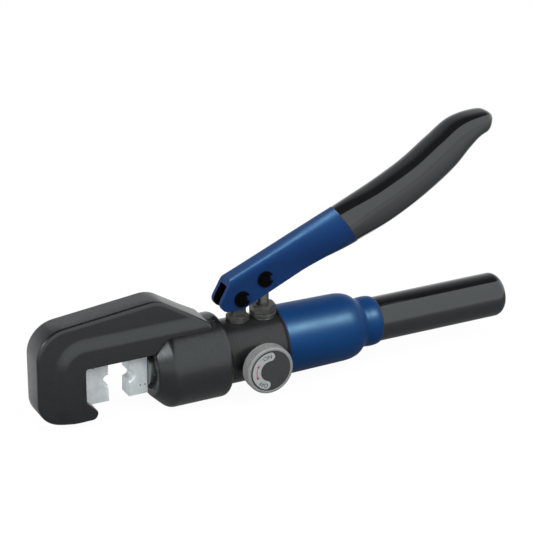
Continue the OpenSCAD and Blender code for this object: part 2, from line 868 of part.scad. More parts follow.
module knob_grub_screw() {
    color("#2a2a2a")
    at_knob() translate([0, 0, h_knob + knob_bore / 2]) rotate([90, 0, 0])
        translate([0, 0, spindle_r + seat_fit]) cylinder(r = grub_r, h = knob_r - spindle_r - 2);
}

// Reservoir and handle

module reservoir_housing() {
    color("#1d5f9c")
    turned(concat(
        [[housing_in, x_seam], [housing_r - rim_edge, x_seam], [housing_r, x_seam + rim_edge]],
        quarter(x_shoulder, x_neck, shoulder_r, neck_r),
        reversed(quarter(x_bead + bead_len / 2, x_bead, bead_r, neck_r)),
        quarter(x_bead + bead_len / 2, x_grip, bead_r, grip_r, 1),
        [[tube_r + seat_fit, x_grip], [tube_r + seat_fit, x_tube], [tube_in, x_tube]],
        reversed(quarter(x_shoulder, x_tube - 1, housing_in, tube_in))
    ));
}

module oil_bladder() {
    x_narrow = x_shoulder - 4;
    x_end = x_tube_end - plug_len - 3;
    tail = tube_in - 2 * loose_fit;
    color("#3a3330")
    turned([
        [stub_r + seat_fit, x_rear + 1],
        [stub_r + bladder_wall, x_rear + 1],
        [stub_r + bladder_wall, x_narrow],
        [tail, x_tube - 1],
        [tail, x_end],
        [0, x_end],
        [0, x_end - bladder_wall],
        [tail - bladder_wall, x_end - bladder_wall],
        [tail - bladder_wall, x_tube - 1],
        [stub_r + seat_fit, x_narrow]
    ]);
}

module bladder_clamp() {
    inner = stub_r + bladder_wall + seat_fit;
    color("#9a9da0") ring(x_stub - clamp_back - clamp_len, x_stub - clamp_back, inner, inner + clamp_wall);
}

module handle_tube() color("#8f9395") ring(x_tube, x_tube_end, tube_in, tube_r);

module handle_plug() color("#6c6f70") bar(x_tube_end - plug_len, x_tube_end, tube_in - seat_fit);

module handle_grip() {
    color("#26282a")
    turned(concat(
        [[tube_r + seat_fit, x_grip], [grip_r, x_grip]],
        quarter(grip_wall / 2, x_grip_end, grip_r, grip_r - grip_nose - 1),
        [[0, x_grip_end], [0, x_tube_end], [tube_r + seat_fit, x_tube_end]]
    ));
}

// Pump lever, in the lever's own frame

// Thin oval plate of a section, behind its plane where back is the plate's thickness
module oval(section, back = 0) {
    translate([section[0], 0, section[1]]) rotate([0, 90 - section[4], 0]) translate([0, 0, -back])
        linear_extrude(oval_h) scale([section[2], section[3]]) circle(1, $fn = hull_fn);
}

// Side view of the channel's cheeks, with a rounded lower front
module cheek_outline() {
    chin = [channel_chin - channel_front, chin_z];
    polygon(concat(
        [[channel_len + over, channel_top], [-channel_nose, channel_top]],
        [for (a = chin_angles) chin + channel_chin * [cos(a), sin(a)]],
        [[-channel_nose, -channel_low], [channel_len + over, channel_rise - channel_low]]
    ));
}

module lever_channel() {
    end_low = channel_low - channel_rise;
    color("#1d5f9c")
    at_lever()
    difference() {
        union() {
            side_plate(channel_w) cheek_outline();
            hull() {
                translate([channel_len, -channel_w / 2, -end_low])
                    cube([oval_h, channel_w, channel_top + end_low]);
                oval(socket_swell_section);
            }
            hull() {
                oval(socket_swell_section);
                oval(socket_end_section, oval_h);
            }
        }
        side_plate(channel_in) polygon([
            [-2 * channel_front, -2 * channel_low],
            [-2 * channel_front, channel_top - channel_web],
            [channel_len - channel_web, channel_top - channel_web],
            [channel_len - channel_web, -2 * channel_low]
        ]);
        for (p = lever_pins)
            along_y(p[0], -channel_w, p[1]) cylinder(r = pin_r + seat_fit, h = 2 * channel_w);
        bar(socket_end - core_in_socket - seat_fit, socket_end + over, core_r + ring_fit, 0, socket_z);
    }
}

module lever_core() {
    color("#7c8083")
    at_lever() bar(socket_end - core_in_socket, socket_end + core_in_grip, core_r, 0, socket_z);
}

module lever_grip() {
    last = len(lever_sections) - 1;
    color("#26282a")
    at_lever()
    difference() {
        for (i = [0 : last - 1])
            hull() {
                oval(lever_sections[i]);
                oval(lever_sections[i + 1]);
            }
        bar(socket_end - over, socket_end + core_in_grip + seat_fit, core_r + ring_fit, 0, socket_z);
    }
}

// Straight pin across the lever's cheeks
module lever_pin(p) {
    half = channel_w / 2 + clip_w + pin_head;
    color("#202224") at_lever() along_y(p[0], -half, p[1]) cylinder(r = pin_r, h = 2 * half);
}

module fulcrum_pin() lever_pin(lever_pins[0]);

module plunger_pin() lever_pin(lever_pins[1]);

module pin_clips() {
    color("#141516")
    at_lever()
    for (p = lever_pins, side = [-1, 1])
        translate([p[0], side * (channel_w + clip_w) / 2, p[1]])
        side_plate(clip_w) difference() {
            circle(clip_r);
            circle(pin_r + seat_fit);
            rotate(clip_turn) translate([clip_r, 0]) square([2 * clip_r, clip_gap], center = true);
        }
}

head_frame();
fixed_die();
fixed_die_pin();
wiper_ring();
pump_body();
head_o_ring();
head_lock_screw();
spring_bolt();
plunger_gland();
gland_washer();
plunger_seal();
fulcrum_stud();
suction_spring();
suction_seat();
suction_filter();
discharge_spring();
discharge_screw();
relief_spring();
relief_screw();
spindle_gland();
spindle_o_ring();
reservoir_housing();
housing_o_ring();
oil_bladder();
bladder_clamp();
handle_tube();
handle_plug();
handle_grip();
ram();
ram_seal();
ram_backup_ring();
ram_plug();
return_spring();
moving_die();
moving_die_pin();
lever_channel();
lever_core();
lever_grip();
fulcrum_pin();
plunger_pin();
pin_clips();
pump_plunger();
release_spindle();
release_knob();
knob_disc();
knob_scale();
knob_grub_screw();
suction_ball();
discharge_ball();
relief_ball();
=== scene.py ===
"""Looks of a hand pumped hydraulic crimping tool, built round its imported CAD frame.

X runs along the tool with the head towards -X, the release knob faces -Y and Z points up.
Every piece is a surface of two parameters, worked out as whole arrays in metres.
"""

import json
import math

import bmesh
import bpy
import numpy as np
from bpy.props import FloatProperty, FloatVectorProperty, IntProperty, PointerProperty
from mathutils import Matrix, Vector


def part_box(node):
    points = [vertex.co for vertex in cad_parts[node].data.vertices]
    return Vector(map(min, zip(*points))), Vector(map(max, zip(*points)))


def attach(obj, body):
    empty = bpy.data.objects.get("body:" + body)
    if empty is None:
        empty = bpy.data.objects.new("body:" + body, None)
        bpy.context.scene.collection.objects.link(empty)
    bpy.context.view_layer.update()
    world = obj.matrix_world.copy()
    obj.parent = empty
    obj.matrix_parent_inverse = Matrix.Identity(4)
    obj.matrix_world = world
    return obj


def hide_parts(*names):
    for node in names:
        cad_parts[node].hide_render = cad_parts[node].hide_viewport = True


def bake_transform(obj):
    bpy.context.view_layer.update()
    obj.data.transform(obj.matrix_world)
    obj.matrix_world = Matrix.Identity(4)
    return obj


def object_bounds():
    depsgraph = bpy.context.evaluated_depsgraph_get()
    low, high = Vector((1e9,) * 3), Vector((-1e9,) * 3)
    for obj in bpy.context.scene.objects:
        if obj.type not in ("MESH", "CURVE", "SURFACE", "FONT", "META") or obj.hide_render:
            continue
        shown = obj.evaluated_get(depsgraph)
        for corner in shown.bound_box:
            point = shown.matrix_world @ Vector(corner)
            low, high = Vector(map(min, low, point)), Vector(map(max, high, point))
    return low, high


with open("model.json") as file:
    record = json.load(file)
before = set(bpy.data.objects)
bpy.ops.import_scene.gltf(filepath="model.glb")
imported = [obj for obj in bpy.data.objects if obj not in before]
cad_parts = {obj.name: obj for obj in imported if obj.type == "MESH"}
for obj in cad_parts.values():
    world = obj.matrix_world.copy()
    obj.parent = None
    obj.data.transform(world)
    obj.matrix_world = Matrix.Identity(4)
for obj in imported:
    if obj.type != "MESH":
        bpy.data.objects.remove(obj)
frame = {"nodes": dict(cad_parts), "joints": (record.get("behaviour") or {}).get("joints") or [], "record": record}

bl_info = {
    "name": "Hydraulic crimping tool",
    "version": (1, 0, 0),
    "blender": (4, 5, 0),
    "location": "View3D > Sidebar > Crimper",
    "description": "Builds the looks of a hand pumped crimping tool round its frame",
    "category": "Object",
}

MM = 0.001
CAD_BOX = [list(corner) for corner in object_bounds()]
JOINTS = {joint["name"]: joint for joint in frame["joints"]}


# Places that the frame gives


def top_span(node):
    """Lowest and highest X among the vertices at the top of a CAD node."""
    mesh = frame["nodes"][node].data
    co = np.empty(len(mesh.vertices) * 3)
    mesh.vertices.foreach_get("co", co)
    co = co.reshape(-1, 3)
    top = co[co[:, 2] > co[:, 2].max() - 0.1 * MM]
    return float(top[:, 0].min()), float(top[:, 0].max())


HEAD_LOW, HEAD_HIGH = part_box("head_frame")
HOUSING_LOW, HOUSING_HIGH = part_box("reservoir_housing")
GRIP_LOW, GRIP_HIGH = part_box("handle_grip")
KNOB_LOW, KNOB_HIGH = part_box("release_knob")
DISC_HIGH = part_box("knob_disc")[1]
LABEL_LOW, LABEL_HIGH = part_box("knob_scale")
GLAND_LOW, GLAND_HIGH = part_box("plunger_gland")
WASHER_LOW, WASHER_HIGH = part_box("gland_washer")
STUD_LOW, STUD_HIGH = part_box("fulcrum_stud")
PUMP_LOW, PUMP_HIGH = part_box("pump_body")
WIPER_LOW, WIPER_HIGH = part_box("wiper_ring")
PLUNGER_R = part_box("pump_plunger")[1].y
BOSS_R = -HEAD_LOW.z
PUMP_R = -PUMP_LOW.z
FIXED_DIE = top_span("fixed_die")
MOVING_DIE = top_span("moving_die")
DIE_HALF_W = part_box("fixed_die")[1].y
DIE_HALF_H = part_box("fixed_die")[1].z
PIVOT = JOINTS["lever_swing"]["pos_m"]
KNOB_AXIS = JOINTS["knob_turn"]["pos_m"]


def length(name, description, default_mm):
    """A length property whose default is given in millimetres."""
    return FloatProperty(
        name=name, description=description, default=default_mm * MM, unit="LENGTH", precision=5
    )


def angle(name, description, default_deg):
    """An angle property whose default is given in degrees."""
    return FloatProperty(
        name=name, description=description, default=math.radians(default_deg), subtype="ANGLE"
    )


def number(name, description, default):
    """A property that is a plain number."""
    return FloatProperty(name=name, description=description, default=default)


def colour(name, description, default):
    """A colour property in linear RGB."""
    return FloatVectorProperty(
        name=name, description=description, default=default, subtype="COLOR", min=0.0, max=1.0
    )


class CrimperHead(bpy.types.PropertyGroup):
    """Sizes of the C shaped head and its dies."""

    flange_half: length("Flange half width", "Half width of the head's flange behind its rim", 10.0)
    frame_half: length("Frame half width", "Half width of the head round its throat", 13.0)
    step_from: length("Step start", "Distance from the throat where the side starts to slope in", 11.6)
    step_to: length("Step end", "Distance from the throat where the slope meets the flange", 20.2)
    rim_round: length("Rim rounding", "Rounding of the rim's edge", 2.6)
    throat_round: length("Throat rounding", "Rounding of the throat's edge", 0.7)
    corner_top: length("Corner height", "Height of the upper front corner", 42.9)
    corner_r: length("Corner radius", "Radius of the upper front corner", 20.0)
    peak_back: length("Peak place", "Distance of the peak behind the boss's front", -0.4)
    peak_r: length("Peak radius", "Radius of the peak", 18.0)
    tail_back: length("Tail place", "Distance of the tail behind the boss's front", 33.8)
    tail_top: length("Tail height", "Height of the tail's top", 29.5)
    tail_r: length("Tail radius", "Radius of the tail", 6.0)
    chin_drop: length("Chin drop", "Drop of the chin below the tool axis", 21.9)
    chin_r: length("Chin radius", "Radius of the lower front corner", 16.2)
    tip_r: length("Tip radius", "Radius of the hook's tip", 3.5)
    throat_top: length("Throat height", "Height of the throat above the tool axis", 14.3)
    hook_len: length("Hook length", "Length of the hook under the fixed die", 7.0)
    hook_root: length("Hook root", "Drop of the hook's root below the tool axis", 8.5)
    hook_lip: length("Hook lip", "Drop of the hook's lip below the tool axis", 15.4)
    wiper_sink: length("Wiper sink", "Depth of the wiper ring in the boss", 0.8)
    boss_nose: length("Boss nose", "Length of the boss's coned front", 9.6)
    nose_round: length("Nose rounding", "Reach of the rounding behind the cone", 2.6)
    boss_flat_r: length("Boss flat", "Radius of the boss's flat front", 18.2)
    boss_round: length("Boss rear rounding", "Rounding of the boss's rear edge", 4.0)
    notch_r: length("Notch radius", "Radius of the dies' round notch", 3.7)
    die_bevel: length("Die bevel", "Bevel of the dies' edges", 0.4)
    notch_bevel: length("Notch bevel", "Bevel round the dies' notch", 1.0)
    dot_r: length("Dot radius", "Radius of the punched dots on the dies", 0.45)


class CrimperBody(bpy.types.PropertyGroup):
    """Sizes of the reservoir housing, the fixed handle and the pump's fittings."""

    taper: length("Taper", "Radius lost along the housing's barrel", 0.7)
    shoulder: length("Shoulder", "Length of the housing's rounded shoulder", 13.6)
    neck: length("Neck", "Length of the housing's neck", 3.0)
    neck_r: length("Neck radius", "Radius of the housing's neck", 15.8)
    bead: length("Bead", "Length of the bead at the housing's end", 10.9)
    bead_r: length("Bead radius", "Radius of the bead at the housing's end", 16.4)
    soften: length("Softening", "Distance over which the housing's bends are softened", 1.6)
    wall: length("Wall", "Wall of the housing", 3.2)
    grip_nose: length("Grip nose", "Length of the fixed grip's rounded end", 6.8)
    hex_flat: length("Hexagon", "Half width across the gland's flats", 7.4)
    base_h: length("Gland base", "Height of the gland's round base", 2.6)
    collar_h: length("Stud collar", "Height of the stud's hexagon", 4.6)
    stud_flat: length("Stud hexagon", "Half width across the stud's flats", 6.4)
    neck_half: length("Stud neck", "Half width of the stud's neck along the tool", 5.2)
    eye_r: length("Stud eye", "Radius of the stud's eye", 6.3)
    eye_half: length("Eye half width", "Half width of the stud's eye", 3.9)


class CrimperLever(bpy.types.PropertyGroup):
    """Sizes of the painted lever and its grip, in the lever's own frame."""

    tilt: angle("Tilt", "Tilt of the lever at rest", 22.8)
    lean: angle("Lean", "Lean of the joint between lever and grip", 9.0)
    half_w: length("Channel half width", "Half of the channel's outer width", 7.2)
    sheet: length("Sheet", "Thickness of the channel's cheeks and web", 3.0)
    bend_r: length("Bend", "Reach of the bend between cheeks and web", 4.4)
    blend_from: length("Blend", "Place where the channel starts to swell to the socket", 4.0)
    blend_low: length("Lower blend", "Place where the lower edge starts to swell", 40.0)
    seam_turn: angle("Fold angle", "Angle from the top at which the cheek's edge meets the oval", 128.0)
    top: length("Top", "Height of the channel above the fulcrum", 15.6)
    low: length("Low", "Depth of the channel below the fulcrum", 7.0)
    low_end: length("Low end", "Depth of the channel's lower edge at the socket", 5.8)
    nose: length("Nose", "Distance of the web's front ahead of the fulcrum", 1.4)
    front: length("Front", "Distance of the cheeks' front ahead of the fulcrum", 14.5)
    chin_r: length("Chin radius", "Radius of the cheeks' rounded front", 5.5)
    chin_up: length("Chin height", "Height of the rounded front's centre", 2.0)
    chin_start: angle("Chin start", "Angle where the lower edge runs into the rounded front", 250.0)
    chin_end: angle("Chin end", "Angle where the rounded front runs into its slant", 145.0)
    channel: length("Channel", "Length of the open channel", 45.0)
    swell: length("Swell", "Place where the socket has its full section", 66.0)
    socket: length("Socket", "Length from the fulcrum to the end of the paint", 82.5)
    socket_up: length("Socket height", "Height of the socket's centre", 2.5)
    socket_half_h: length("Socket half height", "Half height of the socket's end", 14.2)
    socket_half_w: length("Socket half width", "Half width of the socket's end", 12.3)
    grip_dome: length("Grip dome", "Length of the grip's domed end", 7.0)
    square_from: length("Square place", "Place on the grip from where its section is fully squared", 30.0)
    grip_square: number("Grip square", "Power added to the grip's oval sections", 0.7)
    grip_draw: number("Grip draw", "Share taken off the height of the squared sections", 0.08)


class CrimperKnob(bpy.types.PropertyGroup):
    """Sizes of the release knob and its label."""

    teeth: IntProperty(name="Teeth", description="Number of knurls on the knob's rim", default=72)
    tooth_h: length("Tooth height", "Depth of the knurls", 0.5)
    edge: length("Edge", "Rounding of the knob's edges", 0.9)
    text_h: length("Letter height", "Height of the letters on the label", 2.8)
    arrow_w: length("Arrow width", "Width of the arrow's line", 0.5)
    print_h: length("Print height", "Thickness of the print on the label", 0.03)
    label_half: length("Label half width", "Half width of the label's band", 2.8)
    arrow_head: length("Arrow head", "Length of the arrow's heads", 1.9)


class CrimperColours(bpy.types.PropertyGroup):
    """Colours of the finishes, in linear RGB."""

    head: colour("Head", "Satin black of the head", (0.007, 0.008, 0.0085))
    pump: colour("Pump", "Blackened steel of the pump body", (0.032, 0.033, 0.034))
    fitting: colour("Fitting", "Blackened steel of nuts and pins", (0.085, 0.085, 0.08))
    # Also lines the inside of the lever's channel as painted shade
    clip: colour("Clip", "Black of pins and clips", (0.002, 0.002, 0.002))
    blue: colour("Blue", "Blue paint of the housing", (0.004, 0.04, 0.15))
    # Painted shade: the lever has the same blue paint as the housing, given darker here to stand in for the shade
    # on it
    shade_darkened_blue: colour("Navy", "Darker blue paint of the lever", (0.009, 0.033, 0.125))
    cool: colour("Head gloss", "Tint of the head's gloss", (0.9, 0.96, 1.0))
    gloss: colour("Blue gloss", "Tint of the housing paint's gloss", (0.42, 0.79, 0.98))
    sheen: colour("Navy gloss", "Tint of the lever paint's gloss", (0.2, 0.64, 1.0))
    grip: colour("Grip", "Black sleeves", (0.007, 0.0075, 0.008))
    zinc: colour("Zinc", "Zinc plated dies", (0.84, 0.91, 0.95))
    steel: colour("Steel", "Bright turned steel", (0.27, 0.31, 0.31))
    rod: colour("Plunger", "Ground steel of the plunger", (0.22, 0.22, 0.21))
    knob: colour("Knob", "Matt knob metal", (0.31, 0.325, 0.32))
    disc: colour("Disc", "Knob's dark face", (0.042, 0.043, 0.045))
    label: colour("Label", "Foil of the label", (0.47, 0.5, 0.5))
    ink: colour("Ink", "Dark print", (0.03, 0.03, 0.035))
    red: colour("Red", "Red print", (0.42, 0.02, 0.06))
    seam: colour("Seam", "Sealing line at the joints", (0.05, 0.028, 0.014))
    rubber: colour("Rubber", "Seals and bladder", (0.012, 0.012, 0.012))
    pale: colour("Pale plastic", "Backup ring", (0.62, 0.58, 0.48))
    brass: colour("Brass", "Suction filter", (0.5, 0.34, 0.12))
    floor: colour("Floor", "Pale floor", (0.36, 0.36, 0.36))


class CrimperStage(bpy.types.PropertyGroup):
    """Camera, floor and lights."""

    camera: FloatVectorProperty(
        name="Camera", description="Place of the camera",
        default=(-0.75683, -1.2899, 0.69663), subtype="TRANSLATION", unit="LENGTH",
    )
    azimuth: angle("Azimuth", "Turn of the camera about Z", -26.24)
    elevation: angle("Elevation", "Height angle of the camera", 24.11)
    lens: number("Lens", "Focal length in millimetres", 168.86)
    sensor: number("Sensor", "Width of the sensor in millimetres", 36.0)
    floor_half: length("Floor", "Half width of the floor", 6000.0)
    key_power: number("Key", "Power of the front softbox", 20.0)
    top_power: number("Top", "Power of the upper softbox", 5.0)
    side_power: number("Side", "Power of the left softbox", 14.0)
    housing_gloss: number("Housing gloss", "Power of the strip that the housing mirrors", 45.0)
    lever_gloss: number("Lever gloss", "Power of the strip that the lever mirrors", 45.0)
    head_gloss: number("Head gloss", "Power of the strip that the head mirrors", 0.7)
    nose_gloss: number("Nose gloss", "Power of the strip that the boss's nose mirrors", 2.4)
    fill: number("Fill", "Level of the even light from all round", 0.2)
    room_front: number("Room front", "Level of the mirrored room in front of the tool", 1.1)
    room_low: number("Room horizon", "Level of the mirrored room behind the tool, low down", 1.0)
    room_high: number("Room top", "Level of the mirrored room behind the tool, high up", 0.03)
    room_rise: number("Room rise", "Upward part of the direction in which the room is darkest", 0.85)
    floor_seen: number("Floor seen", "Level of the floor's glow to the camera", 1.13)
    floor_share: number("Floor share", "Share of the glow in what camera and mirrors see", 0.85)


def sizes():
    """The scene's property groups."""
    return bpy.context.scene.crimper_sizes


class CrimperSizes(bpy.types.PropertyGroup):
    """All property groups of the tool."""

    head: PointerProperty(type=CrimperHead)
    body: PointerProperty(type=CrimperBody)
    lever: PointerProperty(type=CrimperLever)
    knob: PointerProperty(type=CrimperKnob)
    colours: PointerProperty(type=CrimperColours)
    stage: PointerProperty(type=CrimperStage)


# Curves and surfaces


def bent(points, radius, steps=6):
    """Polyline whose inner corners are parabolas: (1-t)^2 a + 2t(1-t) corner + t^2 b."""
    points = np.asarray(points, float)
    before, corner, after = points[:-2], points[1:-1], points[2:]
    reach = np.broadcast_to(np.asarray(radius, float), len(corner))[:, None]
    back, ahead = before - corner, after - corner
    back_len = np.linalg.norm(back, axis=1, keepdims=True)
    ahead_len = np.linalg.norm(ahead, axis=1, keepdims=True)
    a = corner + back / back_len * np.minimum(reach, 0.48 * back_len)
    b = corner + ahead / ahead_len * np.minimum(reach, 0.48 * ahead_len)
    t = np.linspace(0, 1, steps)[None, :, None]
    arcs = (1 - t) ** 2 * a[:, None] + 2 * t * (1 - t) * corner[:, None] + t**2 * b[:, None]
    return np.concatenate([points[:1], arcs.reshape(-1, points.shape[1]), points[-1:]])


def along(curve, count):
    """The same curve with evenly spaced points, by its running length."""
    step = np.linalg.norm(np.diff(curve, axis=0), axis=1)
    run = np.concatenate([[0], np.cumsum(step)])
    even = np.linspace(0, run[-1], count)
    return np.stack([np.interp(even, run, axis) for axis in curve.T], axis=1)


def hermite(keys, values, at):
    """Cubic Hermite curve through values at keys, with the slopes of their neighbours."""
    keys, values = np.asarray(keys, float), np.asarray(values, float)
    slope = np.gradient(values, keys, axis=0)
    i = np.clip(np.searchsorted(keys, at, side="right") - 1, 0, len(keys) - 2)
    span = (keys[i + 1] - keys[i])[:, None]
    t = ((at - keys[i]) / (keys[i + 1] - keys[i]))[:, None]
    a, b = values[i], values[i + 1]
    rise = t * t * (3 - 2 * t)
    leave, arrive = t * (1 - t) ** 2, t * t * (t - 1)
    return a + (b - a) * rise + span * (leave * slope[i] + arrive * slope[i + 1])


def smooth(value, start, end):
    """Share from 0 to 1 with level ends: u^2 (3 - 2u)."""
    u = np.clip((value - start) / (end - start), 0, 1)
    return u * u * (3 - 2 * u)


def grid_faces(rows, columns, wrap_rows, wrap_columns):
    """Quads of a grid of rows and columns of points."""
    i = np.arange(rows if wrap_rows else rows - 1)[:, None]
    j = np.arange(columns if wrap_columns else columns - 1)[None, :]
    i_next, j_next = (i + 1) % rows, (j + 1) % columns
    corners = [i * columns + j, i * columns + j_next, i_next * columns + j_next, i_next * columns + j]
    return np.stack(np.broadcast_arrays(*corners), axis=-1).reshape(-1, 4).tolist()


def shell(grid, wrap_rows=False, caps=True):
    """Points and faces of a grid whose columns close on themselves, with flat ends."""
    rows, columns = grid.shape[:2]
    faces = grid_faces(rows, columns, wrap_rows, True)
    if caps and not wrap_rows:
        ring = list(range(columns))
        faces += [ring[::-1], [(rows - 1) * columns + k for k in ring]]
    return grid.reshape(-1, 3), faces


AXES = {
    "+X": ((1, 0, 0), (0, 1, 0), (0, 0, 1)),
    "-Y": ((0, -1, 0), (1, 0, 0), (0, 0, 1)),
    "+Z": ((0, 0, 1), (1, 0, 0), (0, 1, 0)),
}


def lathe(profile, origin=(0, 0, 0), axis="+X", steps=160, closed=False, scale=None):
    """Surface origin + h a + r k (cos t e1 + sin t e2) of a profile of radii r and heights h.

    scale gives k for every profile point and turn angle t.
    """
    profile = np.asarray(profile, float)
    a, e1, e2 = (np.array(v, float) for v in AXES[axis])
    turn = np.linspace(0, 2 * np.pi, steps, endpoint=False)
    ray = np.cos(turn)[:, None] * e1 + np.sin(turn)[:, None] * e2
    radius = profile[:, 0][:, None] * (np.ones((1, steps)) if scale is None else scale(turn))
    grid = np.asarray(origin, float) + profile[:, 1][:, None, None] * a + radius[..., None] * ray
    return shell(grid, wrap_rows=closed, caps=not closed)


def piece(
    name, shells, material, body, replaced=(), sharp=math.radians(32), bevel=0.0, shade_lining=None
):
    """One mesh object made of closed shells, riding on a body in place of CAD nodes.

    The last argument is a second material and the mask of the faces that have it; the lever uses it for painted
    shade, a black lining inside its open channel.
    """
    points, faces, count = [], [], 0
    for part_points, part_faces in shells:
        points.append(part_points)
        faces += [[k + count for k in face] for face in part_faces]
        count += len(part_points)
    mesh = bpy.data.meshes.new(name)
    mesh.from_pydata(np.concatenate(points).tolist(), [], faces)
    mesh.materials.append(material)
    # Second material on the masked faces: painted shade
    if shade_lining:
        mesh.materials.append(shade_lining[0])
        mesh.polygons.foreach_set("material_index", shade_lining[1].astype(np.int32))
    work = bmesh.new()
    work.from_mesh(mesh)
    bmesh.ops.remove_doubles(work, verts=work.verts, dist=1e-7)
    bmesh.ops.dissolve_degenerate(work, edges=work.edges, dist=1e-8)
    bmesh.ops.recalc_face_normals(work, faces=work.faces)
    work.to_mesh(mesh)
    work.free()
    mesh.shade_smooth()
    mesh.set_sharp_from_angle(angle=sharp)
    obj = bpy.data.objects.new(name, mesh)
    bpy.context.scene.collection.objects.link(obj)
    if bevel:
        edge = obj.modifiers.new("edges", "BEVEL")
        edge.width = bevel
        edge.segments = 2
        edge.limit_method = "ANGLE"
        edge.angle_limit = math.radians(40)
        edge.harden_normals = True
    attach(obj, body)
    if replaced:
        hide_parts(*replaced)
    return obj


# Finishes


class Finish:
    """A procedural material on Object coordinates, built up from noise layers."""

    def __init__(self, name, base, roughness, metallic=0.0, specular=0.5):
        self.material = bpy.data.materials.new(name)
        self.material.use_nodes = True
        self.tree = self.material.node_tree
        self.shader = self.tree.nodes["Principled BSDF"]
        self.base = tuple(base)
        self.shader.inputs["Base Color"].default_value = (*base, 1)
        self.shader.inputs["Roughness"].default_value = roughness
        self.shader.inputs["Metallic"].default_value = metallic
        self.shader.inputs["Specular IOR Level"].default_value = specular
        self.place = self.tree.nodes.new("ShaderNodeTexCoord")
        self.normal = None

    def noise(self, scale, detail=3.0, stretch=(1, 1, 1)):
        """Noise from 0 to 1 of the given scale per metre, stretched along the axes."""
        mapping = self.tree.nodes.new("ShaderNodeMapping")
        mapping.inputs["Scale"].default_value = stretch
        noise = self.tree.nodes.new("ShaderNodeTexNoise")
        noise.inputs["Scale"].default_value = scale
        noise.inputs["Detail"].default_value = detail
        self.tree.links.new(self.place.outputs["Object"], mapping.inputs["Vector"])
        self.tree.links.new(mapping.outputs["Vector"], noise.inputs["Vector"])
        return noise.outputs["Fac"]

    def mottle(self, scale, spread, detail=4.0, stretch=(1, 1, 1)):
        """Base colour that varies by a share of itself."""
        ramp = self.tree.nodes.new("ShaderNodeValToRGB")
        ramp.color_ramp.elements[0].position = 0.3
        ramp.color_ramp.elements[1].position = 0.7
        ramp.color_ramp.elements[0].color = (*(c * (1 - spread) for c in self.base), 1)
        ramp.color_ramp.elements[1].color = (*(min(c * (1 + spread), 1) for c in self.base), 1)
        self.tree.links.new(self.noise(scale, detail, stretch), ramp.inputs["Fac"])
        self.tree.links.new(ramp.outputs["Color"], self.shader.inputs["Base Color"])
        return self

    def patchy(self, scale, low, high, stretch=(1, 1, 1)):
        """Roughness that varies from low to high."""
        band = self.tree.nodes.new("ShaderNodeMapRange")
        band.inputs["From Min"].default_value = 0.3
        band.inputs["From Max"].default_value = 0.7
        band.inputs["To Min"].default_value = low
        band.inputs["To Max"].default_value = high
        self.tree.links.new(self.noise(scale, 4.0, stretch), band.inputs["Value"])
        self.tree.links.new(band.outputs["Result"], self.shader.inputs["Roughness"])
        return self

    def grain(self, scale, depth_mm, stretch=(1, 1, 1), detail=2.0):
        """Bump of the given depth, laid over any earlier one."""
        bump = self.tree.nodes.new("ShaderNodeBump")
        bump.inputs["Strength"].default_value = 1.0
        bump.inputs["Distance"].default_value = depth_mm * MM
        self.tree.links.new(self.noise(scale, detail, stretch), bump.inputs["Height"])
        if self.normal is not None:
            self.tree.links.new(self.normal, bump.inputs["Normal"])
        self.normal = bump.outputs["Normal"]
        self.tree.links.new(self.normal, self.shader.inputs["Normal"])
        return self

    def tinted(self, gloss, level):
        """Gloss of its own colour and level."""
        self.shader.inputs["Specular Tint"].default_value = (*gloss, 1)
        self.shader.inputs["Specular IOR Level"].default_value = level
        return self


# Stretch of a noise into fine lines that run across an axis
ACROSS_X = (40, 1, 1)
ACROSS_Z = (1, 1, 40)


